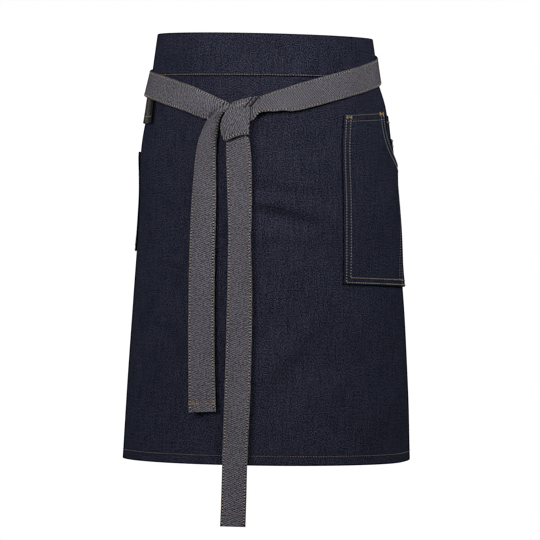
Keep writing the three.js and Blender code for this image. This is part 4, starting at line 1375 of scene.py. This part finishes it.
class APRON_OT_stage(Operator):
    """Set the floor, the lights and the camera"""

    bl_idname = "apron.stage"
    bl_label = "Stage"

    def execute(self, context):
        scene = context.scene
        self.floor(scene)
        for name, (place, side, power) in LAMPS.items():
            self.light(scene, name, place, side, power)
        self.world(scene)
        self.camera(scene)
        self.picture(scene)
        scene.view_settings.view_transform = "Standard"
        return {"FINISHED"}

    def floor(self, scene):
        """A wide level grid of quads under the apron."""
        grid = np.linspace(-FLOOR_HALF, FLOOR_HALF, FLOOR_POINTS)
        x, y = np.meshgrid(grid, grid, indexing="ij")
        points = np.stack([x, y, np.full_like(x, FLOOR_Z)], -1).reshape(-1, 3)
        p = np.arange(x.size).reshape(x.shape)
        quads = np.stack([p[:-1, :-1], p[1:, :-1], p[1:, 1:], p[:-1, 1:]], -1).reshape(-1, 4)
        mesh = bpy.data.meshes.new("studio_floor")
        mesh.from_pydata(points.tolist(), [], quads.tolist())
        mesh.materials.append(floor_material(tuple(scene.apron_colours.floor)))
        floor = bpy.data.objects.new("studio_floor", mesh)
        scene.collection.objects.link(floor)

    def aim(self, scene, thing, place, target):
        """Put a lamp or camera at a place, pointed at a target."""
        thing.location = place
        way = Vector(target) - Vector(place)
        thing.rotation_euler = way.to_track_quat("-Z", "Y").to_euler()
        scene.collection.objects.link(thing)

    def light(self, scene, name, place, side, power):
        """A soft square lamp pointed at the apron."""
        lamp = bpy.data.lights.new(name, "AREA")
        lamp.shape, lamp.size, lamp.size_y, lamp.energy = "RECTANGLE", side, side, power
        self.aim(scene, bpy.data.objects.new(name, lamp), place, LAMP_AIM)

    def world(self, scene):
        """White surroundings, dimmer as light than as seen."""
        world = bpy.data.worlds.new("studio")
        world.use_nodes = True
        tree = world.node_tree
        ground = tree.nodes["Background"].inputs
        ground["Color"].default_value = (1, 1, 1, 1)
        seen = put(tree, "ShaderNodeLightPath").outputs["Is Camera Ray"]
        strength = calc(tree, "MULTIPLY_ADD", seen, WORLD_SEEN, WORLD_LIGHT)
        tree.links.new(strength, ground["Strength"])
        scene.world = world

    def camera(self, scene):
        """A long lens a little to the viewer's right of the front, just above the middle."""
        camera = bpy.data.cameras.new("photo_view")
        camera.sensor_fit = "HORIZONTAL"
        camera.sensor_width = SENSOR
        camera.lens = LENS
        camera.clip_end = 100.0
        eye = bpy.data.objects.new("photo_view", camera)
        self.aim(scene, eye, EYE, EYE_AIM)
        scene.camera = eye

    def picture(self, scene):
        """A light sharpening of the picture by eye values: gamma, filter and gamma back."""
        scene.use_nodes = True
        tree = scene.node_tree
        tree.nodes.clear()
        shot = put(tree, "CompositorNodeRLayers").outputs["Image"]
        for node in (put(tree, "CompositorNodeGamma", Gamma=1 / SCREEN_GAMMA),
                     put(tree, "CompositorNodeFilter", filter_type="SHARPEN_DIAMOND", Fac=SHARPEN),
                     put(tree, "CompositorNodeGamma", Gamma=SCREEN_GAMMA)):
            tree.links.new(shot, node.inputs["Image"])
            shot = node.outputs["Image"]
        tree.links.new(shot, put(tree, "CompositorNodeComposite").inputs["Image"])


class APRON_PT_sidebar(Panel):
    """The apron's pieces, sizes and colours"""

    bl_idname = "APRON_PT_sidebar"
    bl_label = "Denim Waist Apron"
    bl_space_type = "VIEW_3D"
    bl_region_type = "UI"
    bl_category = "Apron"

    def draw(self, context):
        for operator in OPERATORS:
            self.layout.operator(operator.bl_idname)
        for group in (context.scene.apron_sizes, context.scene.apron_colours):
            for name in group.__annotations__:
                self.layout.prop(group, name)


OPERATORS = (APRON_OT_panel, APRON_OT_waistband, APRON_OT_pockets, APRON_OT_side_loop,
             APRON_OT_straps, APRON_OT_stitches, APRON_OT_stage)
CLASSES = (ApronSizes, ApronColours, *OPERATORS, APRON_PT_sidebar)


def register():
    """Add the classes and the two groups of settings."""
    for cls in CLASSES:
        bpy.utils.register_class(cls)
    bpy.types.Scene.apron_sizes = PointerProperty(type=ApronSizes)
    bpy.types.Scene.apron_colours = PointerProperty(type=ApronColours)


def unregister():
    """Take the settings and the classes away again."""
    del bpy.types.Scene.apron_colours
    del bpy.types.Scene.apron_sizes
    for cls in reversed(CLASSES):
        bpy.utils.unregister_class(cls)


def declare_cloth():
    """Work out each strap's length along its way, in metres."""
    length = {side: way["run"][-1] * MM for side, way in strap_ways().items()}


def main():
    """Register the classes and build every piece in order."""
    register()
    for operator in OPERATORS:
        space, name = operator.bl_idname.split(".")
        getattr(getattr(bpy.ops, space), name)()
    declare_cloth()


if __name__ == "__main__":
    main()
